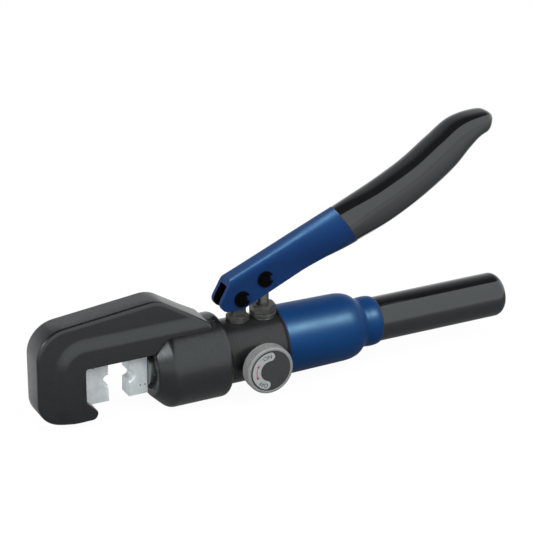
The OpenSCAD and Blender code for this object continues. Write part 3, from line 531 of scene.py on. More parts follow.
def make_finishes():
    """Every finish of the tool by the record's slot or by the piece's own name."""
    colours = sizes().colours
    return {
        "head_paint": Finish("satin_black_casting", colours.head, 0.27)
        .mottle(90, 0.12).patchy(260, 0.24, 0.31).grain(1500, 0.003).tinted(colours.cool, 0.8),
        "pump_steel": Finish("blackened_turned_steel", colours.pump, 0.27, metallic=0.45)
        .mottle(70, 0.14).patchy(60, 0.22, 0.32, ACROSS_X).grain(90, 0.004, ACROSS_X),
        "black_steel": Finish("blackened_fitting", colours.fitting, 0.36, metallic=0.4)
        .mottle(300, 0.25).patchy(500, 0.28, 0.46).grain(900, 0.006),
        # Black of pins and clips; on the inside of the lever's channel it is painted shade
        "clip_black": Finish("black_spring_steel", colours.clip, 0.5, specular=0.03)
        .mottle(400, 0.3).grain(900, 0.004),
        # The housing's blue paint made darker, with its own gloss tint and roughness: painted shade on the lever
        "lever_blue": Finish("blue_lever_paint", colours.shade_darkened_blue, 0.44)
        .mottle(45, 0.08).patchy(120, 0.4, 0.48).grain(420, 0.0006).tinted(colours.sheen, 0.2),
        "blue_paint": Finish("blue_housing_paint", colours.blue, 0.39)
        .mottle(45, 0.08).patchy(120, 0.36, 0.42).grain(420, 0.0006).tinted(colours.gloss, 0.2),
        "grip_plastic": Finish("black_vinyl_sleeve", colours.grip, 0.1)
        .mottle(60, 0.12).patchy(140, 0.08, 0.13).grain(600, 0.0008).tinted(colours.cool, 1.0),
        "die_steel": Finish("zinc_plated_die", colours.zinc, 0.4, metallic=0.35)
        .mottle(240, 0.1).patchy(300, 0.3, 0.46).grain(500, 0.006, (1, 1, 6)),
        "bright_steel": Finish("bright_turned_steel", colours.steel, 0.3, metallic=0.9)
        .mottle(160, 0.08).patchy(120, 0.24, 0.38, ACROSS_X).grain(120, 0.003, ACROSS_X),
        "plunger_steel": Finish("bright_ground_plunger", colours.rod, 0.26, metallic=0.9)
        .mottle(160, 0.08).patchy(120, 0.2, 0.34, ACROSS_Z).grain(120, 0.003, ACROSS_Z),
        "knob_metal": Finish("matt_knob_metal", colours.knob, 0.5, metallic=0.25)
        .mottle(300, 0.08).patchy(400, 0.44, 0.58).grain(1400, 0.003),
        "disc_plastic": Finish("dark_knob_face", colours.disc, 0.42)
        .mottle(500, 0.08).patchy(600, 0.38, 0.5).grain(2200, 0.006),
        "label_foil": Finish("label_foil", colours.label, 0.4, metallic=0.2)
        .mottle(900, 0.1).patchy(700, 0.34, 0.5).grain(2500, 0.004),
        "ink": Finish("dark_print", colours.ink, 0.5).mottle(1500, 0.2),
        "red_ink": Finish("red_print", colours.red, 0.5).mottle(1500, 0.15),
        "seam": Finish("seam_line", colours.seam, 0.45).mottle(700, 0.35),
        "seal_rubber": Finish("seal_rubber", colours.rubber, 0.6).mottle(300, 0.25).grain(1200, 0.01),
        "backup_plastic": Finish("pale_backup_ring", colours.pale, 0.5).mottle(300, 0.08).grain(900, 0.004),
        "filter_brass": Finish("sintered_brass", colours.brass, 0.5, metallic=0.9)
        .mottle(1500, 0.25).grain(2500, 0.03),
    }


FINISHES = {}


def finish(name):
    """Material of a finish, made with the others on the first call."""
    if not FINISHES:
        FINISHES.update(make_finishes())
    return FINISHES[name].material


# Head


def rim_curve(head, x_throat, x_boss):
    """Outer edge of the head: centre + r (cos a, sin a) on the circle that reaches furthest at a.

    The normal a turns clockwise from the hook's tip to the tail, and a circle only counts within
    its own part of the turn.
    """
    circles = np.array([
        [x_throat + head.hook_len - head.tip_r, head.tip_r - head.chin_drop, head.tip_r],
        [HEAD_LOW.x + head.chin_r, head.chin_r - head.chin_drop, head.chin_r],
        [HEAD_LOW.x + head.corner_r, head.corner_top - head.corner_r, head.corner_r],
        [x_boss + head.peak_back, HEAD_HIGH.z - head.peak_r, head.peak_r],
        [x_boss + head.tail_back, head.tail_top - head.tail_r, head.tail_r],
    ])
    first = np.array([0, -80, -170, -190, -250])
    last = np.array([-100, -190, -280, -350, -360])
    turn = np.linspace(0, -345, 700)[:, None]
    normal = np.concatenate([np.cos(np.radians(turn)), np.sin(np.radians(turn))], axis=1)
    reach = normal @ circles[:, :2].T + circles[:, 2]
    reach = np.where((turn <= first) & (turn >= last), reach, -1)
    best = reach.argmax(axis=1)
    return circles[best, :2] + circles[best, 2:] * normal


def throat_curve(head, x_throat, x_boss):
    """Inner edge of the head: hook, throat wall and throat roof, then up into the boss."""
    x_tip = x_throat + head.hook_len
    roof = head.throat_top
    return bent(
        [
            [x_tip, -head.hook_lip - head.tip_r / 2],
            [x_tip, -head.hook_lip],
            [x_throat, -head.hook_root],
            [x_throat, roof],
            [x_boss + head.peak_back, roof],
            [x_boss + head.boss_nose, roof + head.tail_r],
            [x_boss + head.tail_back - head.tail_r, roof + head.tail_r],
        ],
        head.throat_round, steps=5,
    )


def matched(curve, stops, count):
    """Points of a curve whose stops, given as points, fall at even shares of the count."""
    run = np.concatenate([[0], np.cumsum(np.linalg.norm(np.diff(curve, axis=0), axis=1))])
    at = [run[np.linalg.norm(curve - stop, axis=1).argmin()] for stop in stops]
    share = np.interp(np.linspace(0, len(at) - 1, count), np.arange(len(at)), at)
    return np.stack([np.interp(share, run, axis) for axis in curve.T], axis=1)


# Share of a radius by which an arc's middle lies in from the square corner, along each side
ARC_SHARE = 0.3


def head_band(head, x_throat, x_boss, count=260):
    """The C shaped band between rim and throat.

    A point lies at rim + d (throat - rim) / L. Its half width is that of the flat round the throat,
    then falls in a smooth slope with the distance from the throat's rectangle to that of the flange.
    Rim and throat have rounded edges.
    """
    rim, throat = rim_curve(head, x_throat, x_boss), throat_curve(head, x_throat, x_boss)
    front, chin = HEAD_LOW.x, -head.chin_drop
    chin_in, corner_in = ARC_SHARE * head.chin_r, ARC_SHARE * head.corner_r
    outer = matched(rim, np.array([
        rim[0], [front + chin_in, chin + chin_in],
        [front + corner_in, head.corner_top - corner_in],
        [x_boss + head.peak_back, HEAD_HIGH.z], rim[-1],
    ]), count)
    inner = matched(throat, np.array([
        throat[0], [x_throat, -head.hook_root], [x_throat, head.throat_top],
        [x_boss + head.peak_back, head.throat_top], throat[-1],
    ]), count)
    span = np.linalg.norm(inner - outer, axis=1)[:, None]
    inset = np.linspace(0, 1, 56)[None, :]
    depth = head.rim_round + inset * (span - head.rim_round - head.throat_round)
    side = outer[:, None] + (inner - outer)[:, None] * (depth / span)[..., None]
    ahead = np.maximum(x_throat - side[..., 0], 0)
    above = np.maximum(side[..., 1] - head.throat_top, 0)
    below = np.maximum(-head.hook_root - side[..., 1], 0)
    fall = smooth(np.hypot(ahead, above + below), head.step_from, head.step_to)
    width = head.frame_half - (head.frame_half - head.flange_half) * fall
    turn = np.radians(np.linspace(0, 90, 7))[None, :]
    rim_depth = head.rim_round * (1 - np.sin(turn)) + 0 * span
    rim_width = width[:, :1] - head.rim_round * (1 - np.cos(turn))
    end_depth = span - head.throat_round * (1 - np.sin(turn))
    end_width = width[:, -1:] - head.throat_round * (1 - np.cos(turn))
    depths = np.concatenate([rim_depth[:, ::-1], depth, end_depth], axis=1)
    widths = np.concatenate([rim_width[:, ::-1], width, end_width], axis=1)
    depths = np.concatenate([depths, depths[:, ::-1]], axis=1)
    widths = np.concatenate([-widths, widths[:, ::-1]], axis=1)
    flat = outer[:, None] + (inner - outer)[:, None] * (depths / span)[..., None]
    grid = np.stack([flat[..., 0], widths, flat[..., 1]], axis=-1)
    return shell(grid)


def boss_shell(head, x_boss):
    """Round boss turned about X: rounded rear edge, coned nose, flat front and the ram's hole."""
    hole, bore = WIPER_HIGH.z, PUMP_HIGH.z - MM
    profile = bent(
        [
            [bore, HEAD_HIGH.x], [BOSS_R, HEAD_HIGH.x], [BOSS_R, x_boss + head.boss_nose],
            [head.boss_flat_r, x_boss], [hole, x_boss], [hole, WIPER_HIGH.x], [bore, WIPER_HIGH.x + MM],
        ],
        [head.boss_round, head.nose_round, head.nose_round / 2, head.throat_round, head.throat_round],
        steps=9,
    )
    return lathe(profile, closed=True, steps=192)


class CRIMPER_OT_head(bpy.types.Operator):
    """Build the C shaped head with its round boss"""

    bl_idname = "crimper.head"
    bl_label = "Head"

    def execute(self, context):
        head = sizes().head
        x_boss = WIPER_LOW.x - head.wiper_sink
        shells = [head_band(head, FIXED_DIE[0], x_boss), boss_shell(head, x_boss)]
        piece("head_casting", shells, finish("head_paint"), "tool_body", ["head_frame"])
        return {"FINISHED"}


def die_plate(head, x_back, x_face):
    """Die outline with a half round notch, carried across Y in layers with bevelled edges."""
    side = np.sign(x_face - x_back)
    arc = np.radians(np.linspace(-90, 90, 33))
    notch = np.stack([x_face - side * head.notch_r * np.cos(arc), head.notch_r * np.sin(arc)], axis=1)
    ends = np.array([
        [x_face, DIE_HALF_H], [x_back, DIE_HALF_H], [x_back, -DIE_HALF_H], [x_face, -DIE_HALF_H],
    ])
    outline = np.concatenate([notch, ends])
    ring = notch - np.array([side * head.notch_bevel, 0]) * np.cos(arc)[:, None]
    ring[:, 1] += head.notch_bevel * np.sin(arc)
    near_face = np.abs(np.sin(arc)) > 0.99
    ring[:, 0] -= side * head.die_bevel * near_face
    inward = np.array([[-side, -1], [side, -1], [side, 1], [-side, 1]]) * head.die_bevel
    inset = np.concatenate([ring, ends + inward])
    cut = np.where(np.arange(len(outline)) < len(arc), head.notch_bevel, head.die_bevel)
    layers = (
        (inset, -DIE_HALF_W), (outline, cut - DIE_HALF_W),
        (outline, DIE_HALF_W - cut), (inset, DIE_HALF_W),
    )
    return shell(np.stack([np.insert(flat, 1, y, axis=1) for flat, y in layers]))


def dot_shell(head, x, z):
    """Thin round spot on a die's near side."""
    flat = 0.04 * MM
    return lathe(
        [[head.dot_r, DIE_HALF_W - flat], [head.dot_r, DIE_HALF_W + flat]], (x, 0, z), "-Y", 24,
    )


class CRIMPER_OT_dies(bpy.types.Operator):
    """Build the fixed and the moving die"""

    bl_idname = "crimper.dies"
    bl_label = "Dies"

    def execute(self, context):
        head = sizes().head
        steel = finish("die_steel")
        fixed = die_plate(head, FIXED_DIE[0], FIXED_DIE[1])
        moving = die_plate(head, MOVING_DIE[1], MOVING_DIE[0])
        piece("fixed_die_block", [fixed], steel, "tool_body", ["fixed_die"])
        piece("moving_die_block", [moving], steel, "ram", ["moving_die"])
        step = DIE_HALF_H / 4
        marks = (
            ("fixed_die_dots", "tool_body", FIXED_DIE[0], (0.9, 2.1), 3.0),
            ("moving_die_dots", "ram", MOVING_DIE[1], (-0.6, -1.5), -2.2),
        )
        for name, body, back, places, rise in marks:
            dots = [dot_shell(head, back + step * place, step * rise) for place in places]
            piece(name, dots, finish("ink"), body)
        return {"FINISHED"}


# Reservoir housing and fixed handle


def housing_profile(body, count=260):
    """Radius along X: tapered barrel, elliptic shoulder, neck and bead, softened by a Gaussian."""
    x = np.linspace(HOUSING_LOW.x, HOUSING_HIGH.x, count)
    x_bead = HOUSING_HIGH.x - body.bead
    x_neck = x_bead - body.neck
    x_shoulder = x_neck - body.shoulder
    top = HOUSING_HIGH.z
    barrel = top - body.taper * (x - HOUSING_LOW.x) / (x_shoulder - HOUSING_LOW.x)
    rest = np.sqrt(np.clip(1 - ((x - x_shoulder) / body.shoulder) ** 2, 0, 1))
    shoulder = body.neck_r + (top - body.taper - body.neck_r) * rest
    crest = x_bead + body.bead / 2
    rise = np.sqrt(np.clip(1 - ((x - crest) / (body.bead / 2)) ** 2, 0, 1))
    foot = np.where(x < crest, body.neck_r, GRIP_HIGH.z)
    bead = foot + (body.bead_r - foot) * rise
    radius = np.where(x < x_shoulder, barrel, np.where(x < x_bead, shoulder, bead))
    step = x[1] - x[0]
    reach = np.arange(-int(3 * body.soften / step), int(3 * body.soften / step) + 1) * step
    kernel = np.exp(-0.5 * (reach / body.soften) ** 2)
    padded = np.pad(radius, len(reach) // 2, mode="edge")
    soft = np.convolve(padded, kernel / kernel.sum(), mode="valid")
    fade = np.clip((HOUSING_HIGH.x - x) / (4 * body.soften), 0, 1)
    return np.stack([soft * fade + radius * (1 - fade), x], axis=1)


class CRIMPER_OT_housing(bpy.types.Operator):
    """Build the blue reservoir housing with its seam ring"""

    bl_idname = "crimper.housing"
    bl_label = "Housing"

    def execute(self, context):
        body = sizes().body
        outside = housing_profile(body)
        edge = 0.6 * MM
        front_r, front_x = outside[0]
        rim = bent([[front_r - body.wall, front_x], [front_r, front_x], outside[8]], edge)
        inside = outside[::-8] - np.array([body.wall, 0])
        profile = np.concatenate([rim, outside[9:], inside])
        piece(
            "housing_shell", [lathe(profile, closed=True, steps=192)], finish("blue_paint"),
            "tool_body", ["reservoir_housing"],
        )
        lip = 0.4 * MM
        ring = [
            [PUMP_R, HOUSING_LOW.x - lip], [HOUSING_HIGH.z - edge, HOUSING_LOW.x - lip],
            [HOUSING_HIGH.z - edge, HOUSING_LOW.x + lip], [PUMP_R, HOUSING_LOW.x + lip],
        ]
        piece("housing_seam", [lathe(ring, closed=True)], finish("seam"), "tool_body")
        return {"FINISHED"}


class CRIMPER_OT_handle(bpy.types.Operator):
    """Build the fixed grip and the sealing line in front of it"""

    bl_idname = "crimper.handle"
    bl_label = "Fixed handle"

    def execute(self, context):
        body = sizes().body
        r, lip = GRIP_HIGH.z, 0.35 * MM
        turn = np.radians(np.linspace(0, 90, 24))
        x_nose = GRIP_HIGH.x - body.grip_nose
        flat_r = r - body.grip_nose - MM
        end = np.stack(
            [flat_r + (r - flat_r) * np.cos(turn), x_nose + body.grip_nose * np.sin(turn)], axis=1
        )
        x_wall = GRIP_LOW.x + 5 * MM
        front = bent([[0, GRIP_LOW.x], [r, GRIP_LOW.x], [r, x_wall - MM]], lip)
        wall = np.stack([np.full(24, r), np.linspace(x_wall, x_nose - MM, 24)], axis=1)
        profile = np.concatenate([front, wall, end, [[0, GRIP_HIGH.x]]])
        piece(
            "handle_sleeve", [lathe(profile, steps=160)], finish("grip_plastic"),
            "tool_body", ["handle_grip"],
        )
        r_in, r_out = r - MM, r + 0.1 * MM
        ring = [
            [r_in, GRIP_LOW.x - lip], [r_out, GRIP_LOW.x - lip],
            [r_out, GRIP_LOW.x + lip], [r_in, GRIP_LOW.x + lip],
        ]
        piece("handle_seam", [lathe(ring, closed=True)], finish("seam"), "tool_body")
        return {"FINISHED"}


# Pump fittings


def hexagon(flat):
    """Radius of a hexagon over the turn angle: flat / cos of the angle to the nearest flat."""
    def radius(turn):
        return flat / np.cos((turn + np.pi / 6) % (np.pi / 3) - np.pi / 6)
    return radius


def nut_shell(origin, flat, z_low, z_high, bore):
    """Hexagon nut: radius is the least of the hexagon and of a 30 degree chamfer cone at its top."""
    tip = flat / math.cos(math.pi / 6)
    foot_h, crown_h = 1.2 * MM, 1.6 * MM
    foot = np.linspace(z_low, z_low + foot_h, 6)[1:]
    crown = np.linspace(z_high - crown_h, z_high, 8)
    height = np.concatenate([[z_low], foot, crown, [z_high]])
    slope = math.tan(math.radians(60))
    cone = np.minimum(flat + (z_high - height) * slope, tip)
    cone[0] = cone[-1] = bore
    turn = np.linspace(0, 2 * np.pi, 120, endpoint=False)
    radius = np.minimum(hexagon(flat)(turn)[None, :], cone[:, None])
    ray = np.stack([np.cos(turn), np.sin(turn), 0 * turn], axis=1)
    grid = np.array([origin[0], origin[1], 0]) + radius[..., None] * ray
    grid = grid + height[:, None, None] * np.array([0, 0, 1.0])
    return shell(grid)


class CRIMPER_OT_fittings(bpy.types.Operator):
    """Build the plunger's gland nut and the fulcrum stud"""

    bl_idname = "crimper.fittings"
    bl_label = "Pump fittings"

    def execute(self, context):
        body = sizes().body
        steel = finish("black_steel")
        centre = (GLAND_LOW + GLAND_HIGH) / 2
        base_r = GLAND_HIGH.y
        z_base = WASHER_HIGH.z
        z_nut = z_base + body.base_h
        bore = PLUNGER_R + 0.1 * MM
        edge = 0.5 * MM
        base = bent([[0, z_base], [base_r, z_base], [base_r, z_nut], [0, z_nut]], edge)
        shells = [
            lathe(base, (centre.x, centre.y, 0), "+Z", 96),
            nut_shell(centre, body.hex_flat, z_nut, GLAND_HIGH.z, bore),
        ]
        piece("gland_nut", shells, steel, "tool_body", ["plunger_gland"])
        z_seat = WASHER_LOW.z
        middle = (STUD_LOW + STUD_HIGH) / 2
        r, half = body.eye_r, body.eye_half
        eye = bent([[0, -half], [r, -half], [r, half], [0, half]], edge)

        def neck(turn):
            return ((np.cos(turn) / body.neck_half) ** 4 + (np.sin(turn) / half) ** 4) ** -0.25

        shells = [
            nut_shell(middle, body.stud_flat, z_seat, z_seat + body.collar_h, MM),
            lathe([[1, z_seat], [1, PIVOT[2]]], (middle.x, 0, 0), "+Z", 96, scale=neck),
            lathe(eye, (PIVOT[0], 0, PIVOT[2]), "-Y", 96),
        ]
        piece("pivot_stud", shells, steel, "tool_body", ["fulcrum_stud"])
        return {"FINISHED"}


# Pump lever


def lever_to_row(lever, s, y, n):
    """Point at s along, y across and n above the lever's line through the fulcrum."""
    cos, sin = math.cos(lever.tilt), math.sin(lever.tilt)
    return np.stack([PIVOT[0] + s * cos - n * sin, y + 0 * s, PIVOT[2] + s * sin + n * cos], axis=-1)


def cheek_front(lever, n):
    """Front of the cheeks at height n: a circle round the chin, then a straight slant to the nose."""
    centre = lever.chin_r - lever.front
    n_leave = lever.chin_up + lever.chin_r * math.sin(lever.chin_end)
    s_leave = centre + lever.chin_r * math.cos(lever.chin_end)
    circle = centre - np.sqrt(np.clip(lever.chin_r**2 - (n - lever.chin_up) ** 2, 0, None))
    slant = s_leave + (n - n_leave) * (-lever.nose - s_leave) / (lever.top - n_leave)
    return np.where(n < n_leave, circle, slant)


def lever_skin(lever, count=90):
    """Skin of the painted lever as one grid.

    A row is the outer path over the lever, then the path below it. The outer path blends from a
    folded U to the upper part of an oval (w sin a, h cos a). The lower path runs inside the U as far
    as the socket's wall, and then closes the oval.
    """
    low = lever.chin_up + lever.chin_r * math.sin(lever.chin_start)
    floor = -lever.low_end

    def fold(half_w, top, radius, bottom):
        corner = [[-half_w, bottom], [-half_w, top], [half_w, top], [half_w, bottom]]
        return along(bent(corner, radius, 9), count)

    over = fold(lever.half_w, lever.top, lever.bend_r, low)
    under = fold(lever.half_w - lever.sheet, lever.top - lever.sheet, lever.sheet / 4, low)[::-1]
    loop = np.concatenate([over, under])
    front = cheek_front(lever, loop[:, 1])
    wall = lever.channel - lever.sheet
    open_rows = 50
    t = np.linspace(0, 1, open_rows)[:, None] ** 1.4
    s_open = front + t * (wall - front)
    chin_s = lever.chin_r - lever.front + lever.chin_r * math.cos(lever.chin_start)
    edge = np.interp(s_open, [chin_s, -lever.nose, lever.channel], [low, -lever.low, floor])
    n_open = lever.top - (lever.top - loop[:, 1]) * (lever.top - edge) / (lever.top - low)
    y_open = np.broadcast_to(loop[:, 0], s_open.shape)

    s_shut = np.linspace(wall, lever.socket, 70)[:, None]
    over = fold(lever.half_w, lever.top, lever.bend_r, floor)
    across = np.stack([np.linspace(lever.half_w, -lever.half_w, count), np.full(count, floor)], axis=1)
    folded = np.concatenate([over, across])
    seam = lever.seam_turn
    turn = np.concatenate([
        np.linspace(-seam, seam, count), np.linspace(seam, 2 * np.pi - seam, count),
    ])
    y_oval = lever.socket_half_w * np.sin(turn)
    n_oval = lever.socket_up + lever.socket_half_h * np.cos(turn)
    depth = (lever.top - folded[:, 1]) / (lever.top - floor)
    start = lever.blend_from + (lever.blend_low - lever.blend_from) * depth
    blend = smooth(s_shut, start, lever.socket)
    y_shut = folded[:, 0] * (1 - blend) + y_oval * blend
    n_shut = folded[:, 1] * (1 - blend) + n_oval * blend
    drawn = smooth(s_open, start, lever.socket) * (np.arange(2 * count) < count)
    y_open = y_open * (1 - drawn) + y_oval * drawn
    n_open = n_open * (1 - drawn) + n_oval * drawn
    lean = lever.lean * smooth(s_shut, lever.swell, lever.socket)
    s_shut = s_shut - (n_shut - lever.socket_up) * np.sin(lean)
    grid = np.concatenate([
        lever_to_row(lever, s_open, y_open, n_open), lever_to_row(lever, s_shut, y_shut, n_shut),
    ])
    points, faces = shell(grid, caps=False)
    rows, columns = grid.shape[:2]
    k = np.arange(count - 1)
    faces += np.stack([k, k + 1, columns - 2 - k, columns - 1 - k], axis=1).tolist()
    faces.append([(rows - 1) * columns + j for j in range(columns)])
    # Faces on the inside of the open channel, which are given a black material as painted shade
    cell = np.arange(len(faces))
    inside = (cell < (open_rows - 1) * columns) & (cell % columns >= count) & (cell % columns < columns - 1)
    return points, faces, inside


def oval(half_w, half_h, power, count=120):
    """Superellipse |y / w|^p + |n / h|^p = 1 by its angle, for whole arrays of sizes."""
    turn = np.linspace(0, 2 * np.pi, count, endpoint=False)[None, :]
    exponent = 2 / power[:, None]
    y = half_w[:, None] * np.sign(np.cos(turn)) * np.abs(np.cos(turn)) ** exponent
    n = half_h[:, None] * np.sign(np.sin(turn)) * np.abs(np.sin(turn)) ** exponent
    return y, n


def loft(lever, track):
    """Superellipses of track rows (s, n, half height, half width, pitch, power), joined to a shell."""
    s, n, half_h, half_w, pitch, power = track.T
    y, rise = oval(half_w, half_h, power)
    along_s = s[:, None] - rise * np.sin(pitch)[:, None]
    along_n = n[:, None] + rise * np.cos(pitch)[:, None]
    return shell(lever_to_row(lever, along_s, y, along_n))


class CRIMPER_OT_lever(bpy.types.Operator):
    """Build the blue painted lever: a folded channel that runs into an oval socket"""

    bl_idname = "crimper.lever"
    bl_label = "Painted lever"

    def execute(self, context):
        lever = sizes().lever
        points, faces, inside = lever_skin(lever)
        # The inside of the open channel is lined black: painted shade
        piece(
            "painted_lever", [(points, faces)], finish("lever_blue"), "lever",
            ["lever_channel"], bevel=0.5 * MM, shade_lining=(finish("clip_black"), inside),
        )
        return {"FINISHED"}


# Stations of the lever's grip: place, height, half height and half width in mm, pitch in degrees
GRIP_STATIONS = (
    (32, 2.7, 14.4, 12.4, 4),
    (58, 5.5, 13.9, 12.5, 10),
    (80, 10.5, 13.6, 12.4, 14),
    (96, 15.0, 11.6, 11.8, 6),
    (107, 14.7, 9.0, 10.6, -18),
    (119, 11.8, 6.8, 8.4, -28),
)


class CRIMPER_OT_lever_grip(bpy.types.Operator):
    """Build the lever's black grip and the sealing line in front of it"""

    bl_idname = "crimper.lever_grip"
    bl_label = "Lever grip"

    def execute(self, context):
        lever = sizes().lever
        first = np.array([0, lever.socket_up, lever.socket_half_h, lever.socket_half_w]) / MM
        stations = np.array([(*first, math.degrees(lever.lean)), *GRIP_STATIONS])
        end = stations[-1, 0]
        at = np.linspace(0, end, 160)
        track = hermite(stations[:, 0], stations, at)
        grown = smooth(at, 0, lever.square_from / MM)
        dome = lever.grip_dome / MM
        tip = np.sqrt(np.clip(1 - (np.clip(at - end + dome, 0, None) / dome) ** 2, 0, 1))
        tip = np.maximum(tip, 0.02)
        track = np.column_stack([
            lever.socket + track[:, 0] * MM, track[:, 1] * MM,
            track[:, 2] * tip * (1 - lever.grip_draw * grown) * MM, track[:, 3] * tip * MM,
            np.radians(track[:, 4]), 2 + lever.grip_square * grown,
        ])
        piece(
            "lever_sleeve", [loft(lever, track)], finish("grip_plastic"),
            "lever", ["lever_grip"],
        )
        edge = 0.12 * MM
        ends = np.array([-0.25, 0.25]) * MM
        seam = np.column_stack([
            lever.socket + ends, np.full(2, lever.socket_up), np.full(2, lever.socket_half_h + edge),
            np.full(2, lever.socket_half_w + edge), np.full(2, lever.lean), np.full(2, 2.0),
        ])
        piece("lever_seam", [loft(lever, seam)], finish("seam"), "lever")
        return {"FINISHED"}


# Release knob


class CRIMPER_OT_knob(bpy.types.Operator):
    """Build the knurled release knob"""

    bl_idname = "crimper.knob"
    bl_label = "Release knob"

    def execute(self, context):
        knob = sizes().knob
        r = KNOB_HIGH.z - KNOB_AXIS[2]
        back, face = -KNOB_HIGH.y, -KNOB_LOW.y
        seat = -DISC_HIGH.y
        disc_r = DISC_HIGH.z - KNOB_AXIS[2]
        gap = 0.12 * MM
        profile = bent([
            [0, back], [r - 2 * knob.edge, back], [r, back + knob.edge], [r, back + 2 * knob.edge],
            [r, face - 2 * knob.edge], [r, face - knob.edge], [r - knob.edge, face],
            [disc_r + 2 * gap, face], [disc_r + gap, face - 2 * gap], [disc_r + gap, seat], [0, seat],
        ], 0.5 * MM, 5)
        on_rim = np.clip((profile[:, 0] - (r - 0.5 * knob.edge)) / (0.5 * knob.edge), 0, 1)
        inside = np.clip((profile[:, 1] - back) / (2 * knob.edge), 0, 1)
        inside *= np.clip((face - profile[:, 1]) / (1.5 * knob.edge), 0, 1)
        share = (on_rim * inside * knob.tooth_h / r)[:, None]
        steps = knob.teeth * 6

        def knurl(turn):
            return 1 - share * (0.5 + 0.5 * np.cos(knob.teeth * turn))[None, :]

        piece(
            "knob_ring", [lathe(profile, (KNOB_AXIS[0], 0, KNOB_AXIS[2]), "-Y", steps, scale=knurl)],
            finish("knob_metal"), "release_valve", ["release_knob"],
            sharp=math.radians(50),
        )
        return {"FINISHED"}


def ribbon(radius, half_w, start, end, y, thick):
    """Flat arc band about the knob's axis with a thickness, as a closed strip."""
    turn = np.radians(np.linspace(start, end, 40))
    section = np.array([[-half_w, 0], [half_w, 0], [half_w, thick], [-half_w, thick]])
    rho = radius + section[None, :, 0]
    x = KNOB_AXIS[0] + rho * np.cos(turn)[:, None]
    z = KNOB_AXIS[2] + rho * np.sin(turn)[:, None]
    depth = np.broadcast_to(y - section[:, 1], x.shape)
    return shell(np.stack([x, depth, z], axis=-1))


def arrow_head(radius, at, side, size, y, thick):
    """Triangle on the arc at an angle, pointing along the arc, as a thin prism."""
    turn = math.radians(at)
    out = np.array([math.cos(turn), math.sin(turn)])
    ahead = side * np.array([-math.sin(turn), math.cos(turn)])
    base = np.array([KNOB_AXIS[0], KNOB_AXIS[2]]) + radius * out
    half = 0.55 * size
    flat = np.stack([base + ahead * size, base + out * half, base - out * half])
    layers = [np.insert(flat, 1, y - depth, axis=1) for depth in (0, thick)]
    return shell(np.stack(layers))


def letters(name, words, centre, height, turn, y, thick):
    """Letters as a flat mesh that faces -Y, centred at an X and Z place and turned in the face."""
    curve = bpy.data.curves.new(name, "FONT")
    curve.body = words
    curve.size = height / CAP_SHARE
    curve.align_x = "CENTER"
    curve.align_y = "CENTER"
    curve.extrude = thick / 2
    source = bpy.data.objects.new(name, curve)
    mesh = bpy.data.meshes.new_from_object(source)
    place = Matrix.Translation((centre[0], y - thick / 2, centre[1]))
    mesh.transform(place @ Matrix.Rotation(math.pi / 2, 4, "X") @ Matrix.Rotation(turn, 4, "Z"))
    bpy.data.objects.remove(source)
    bpy.data.curves.remove(curve)
    mesh.name = name
    obj = bpy.data.objects.new(name, mesh)
    bpy.context.scene.collection.objects.link(obj)
    return obj


# Degrees round the knob of the arrow's ends and of the switch words
ARROW_ENDS = (156, 196)
WORDS = (("on_word", "ON", 104), ("off_word", "OFF", 238))
# Height of a capital as a share of the font's size
CAP_SHARE = 0.72


class CRIMPER_OT_label(bpy.types.Operator):
    """Print the switch words and the turning arrow on the knob's label"""

    bl_idname = "crimper.label"
    bl_label = "Label"

    def execute(self, context):
        knob = sizes().knob
        face = LABEL_LOW.y
        band = LABEL_HIGH.z - KNOB_AXIS[2] - knob.label_half
        red, ink = finish("red_ink"), finish("ink")
        shells = [
            ribbon(band, knob.arrow_w / 2, *ARROW_ENDS, face, knob.print_h),
            arrow_head(band, ARROW_ENDS[0], -1, knob.arrow_head, face, knob.print_h),
            arrow_head(band, ARROW_ENDS[1], 1, knob.arrow_head, face, knob.print_h),
        ]
        piece("turn_arrow", shells, red, "release_valve")
        for name, words, at in WORDS:
            turn = math.radians(at)
            centre = (KNOB_AXIS[0] + band * math.cos(turn), KNOB_AXIS[2] + band * math.sin(turn))
            obj = letters(name, words, centre, knob.text_h, turn - math.pi / 2, face, knob.print_h)
            obj.data.materials.clear()
            obj.data.materials.append(ink)
            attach(obj, "release_valve")
        return {"FINISHED"}


# Springs


def coil(node, axis, fixed, material):
    """Copy of a spring's coil, merged and smoothed, with a material, shown in place of the CAD node. Its ends
    along an axis are worked out, but the copy doesn't stretch between the bodies that hold them.
    """
    mesh = frame["nodes"][node].data.copy()
    work = bmesh.new()
    work.from_mesh(mesh)
    bmesh.ops.remove_doubles(work, verts=work.verts, dist=1e-7)
    work.to_mesh(mesh)
    work.free()
    mesh.shade_smooth()
    mesh.set_sharp_from_angle(angle=math.radians(50))
    mesh.materials.clear()
    mesh.materials.append(material)
    obj = bpy.data.objects.new(node + "_coil", mesh)
    bpy.context.scene.collection.objects.link(obj)
    low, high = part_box(node)
    start = (low + high) / 2
    end = start.copy()
    start[axis] = fixed
    end[axis] = high[axis] if abs(high[axis] - fixed) > abs(low[axis] - fixed) else low[axis]
    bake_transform(obj)
    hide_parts(node)


class CRIMPER_OT_springs(bpy.types.Operator):
    """Show a smoothed copy of each spring's coil in place of its CAD node"""

    bl_idname = "crimper.springs"
    bl_label = "Springs"

    def execute(self, context):
        steel = finish("bright_steel")
        for joint in frame["record"]["behaviour"]["joints"]:
            for part in joint.get("deforming_nodes", ()):
                letter = part["mode"][-1]
                fixed = part[f"fixed_end_{letter}_m"]
                coil(part["node"], "xyz".index(letter), fixed, steel)
        return {"FINISHED"}


# Finishes of the CAD nodes that stay shown


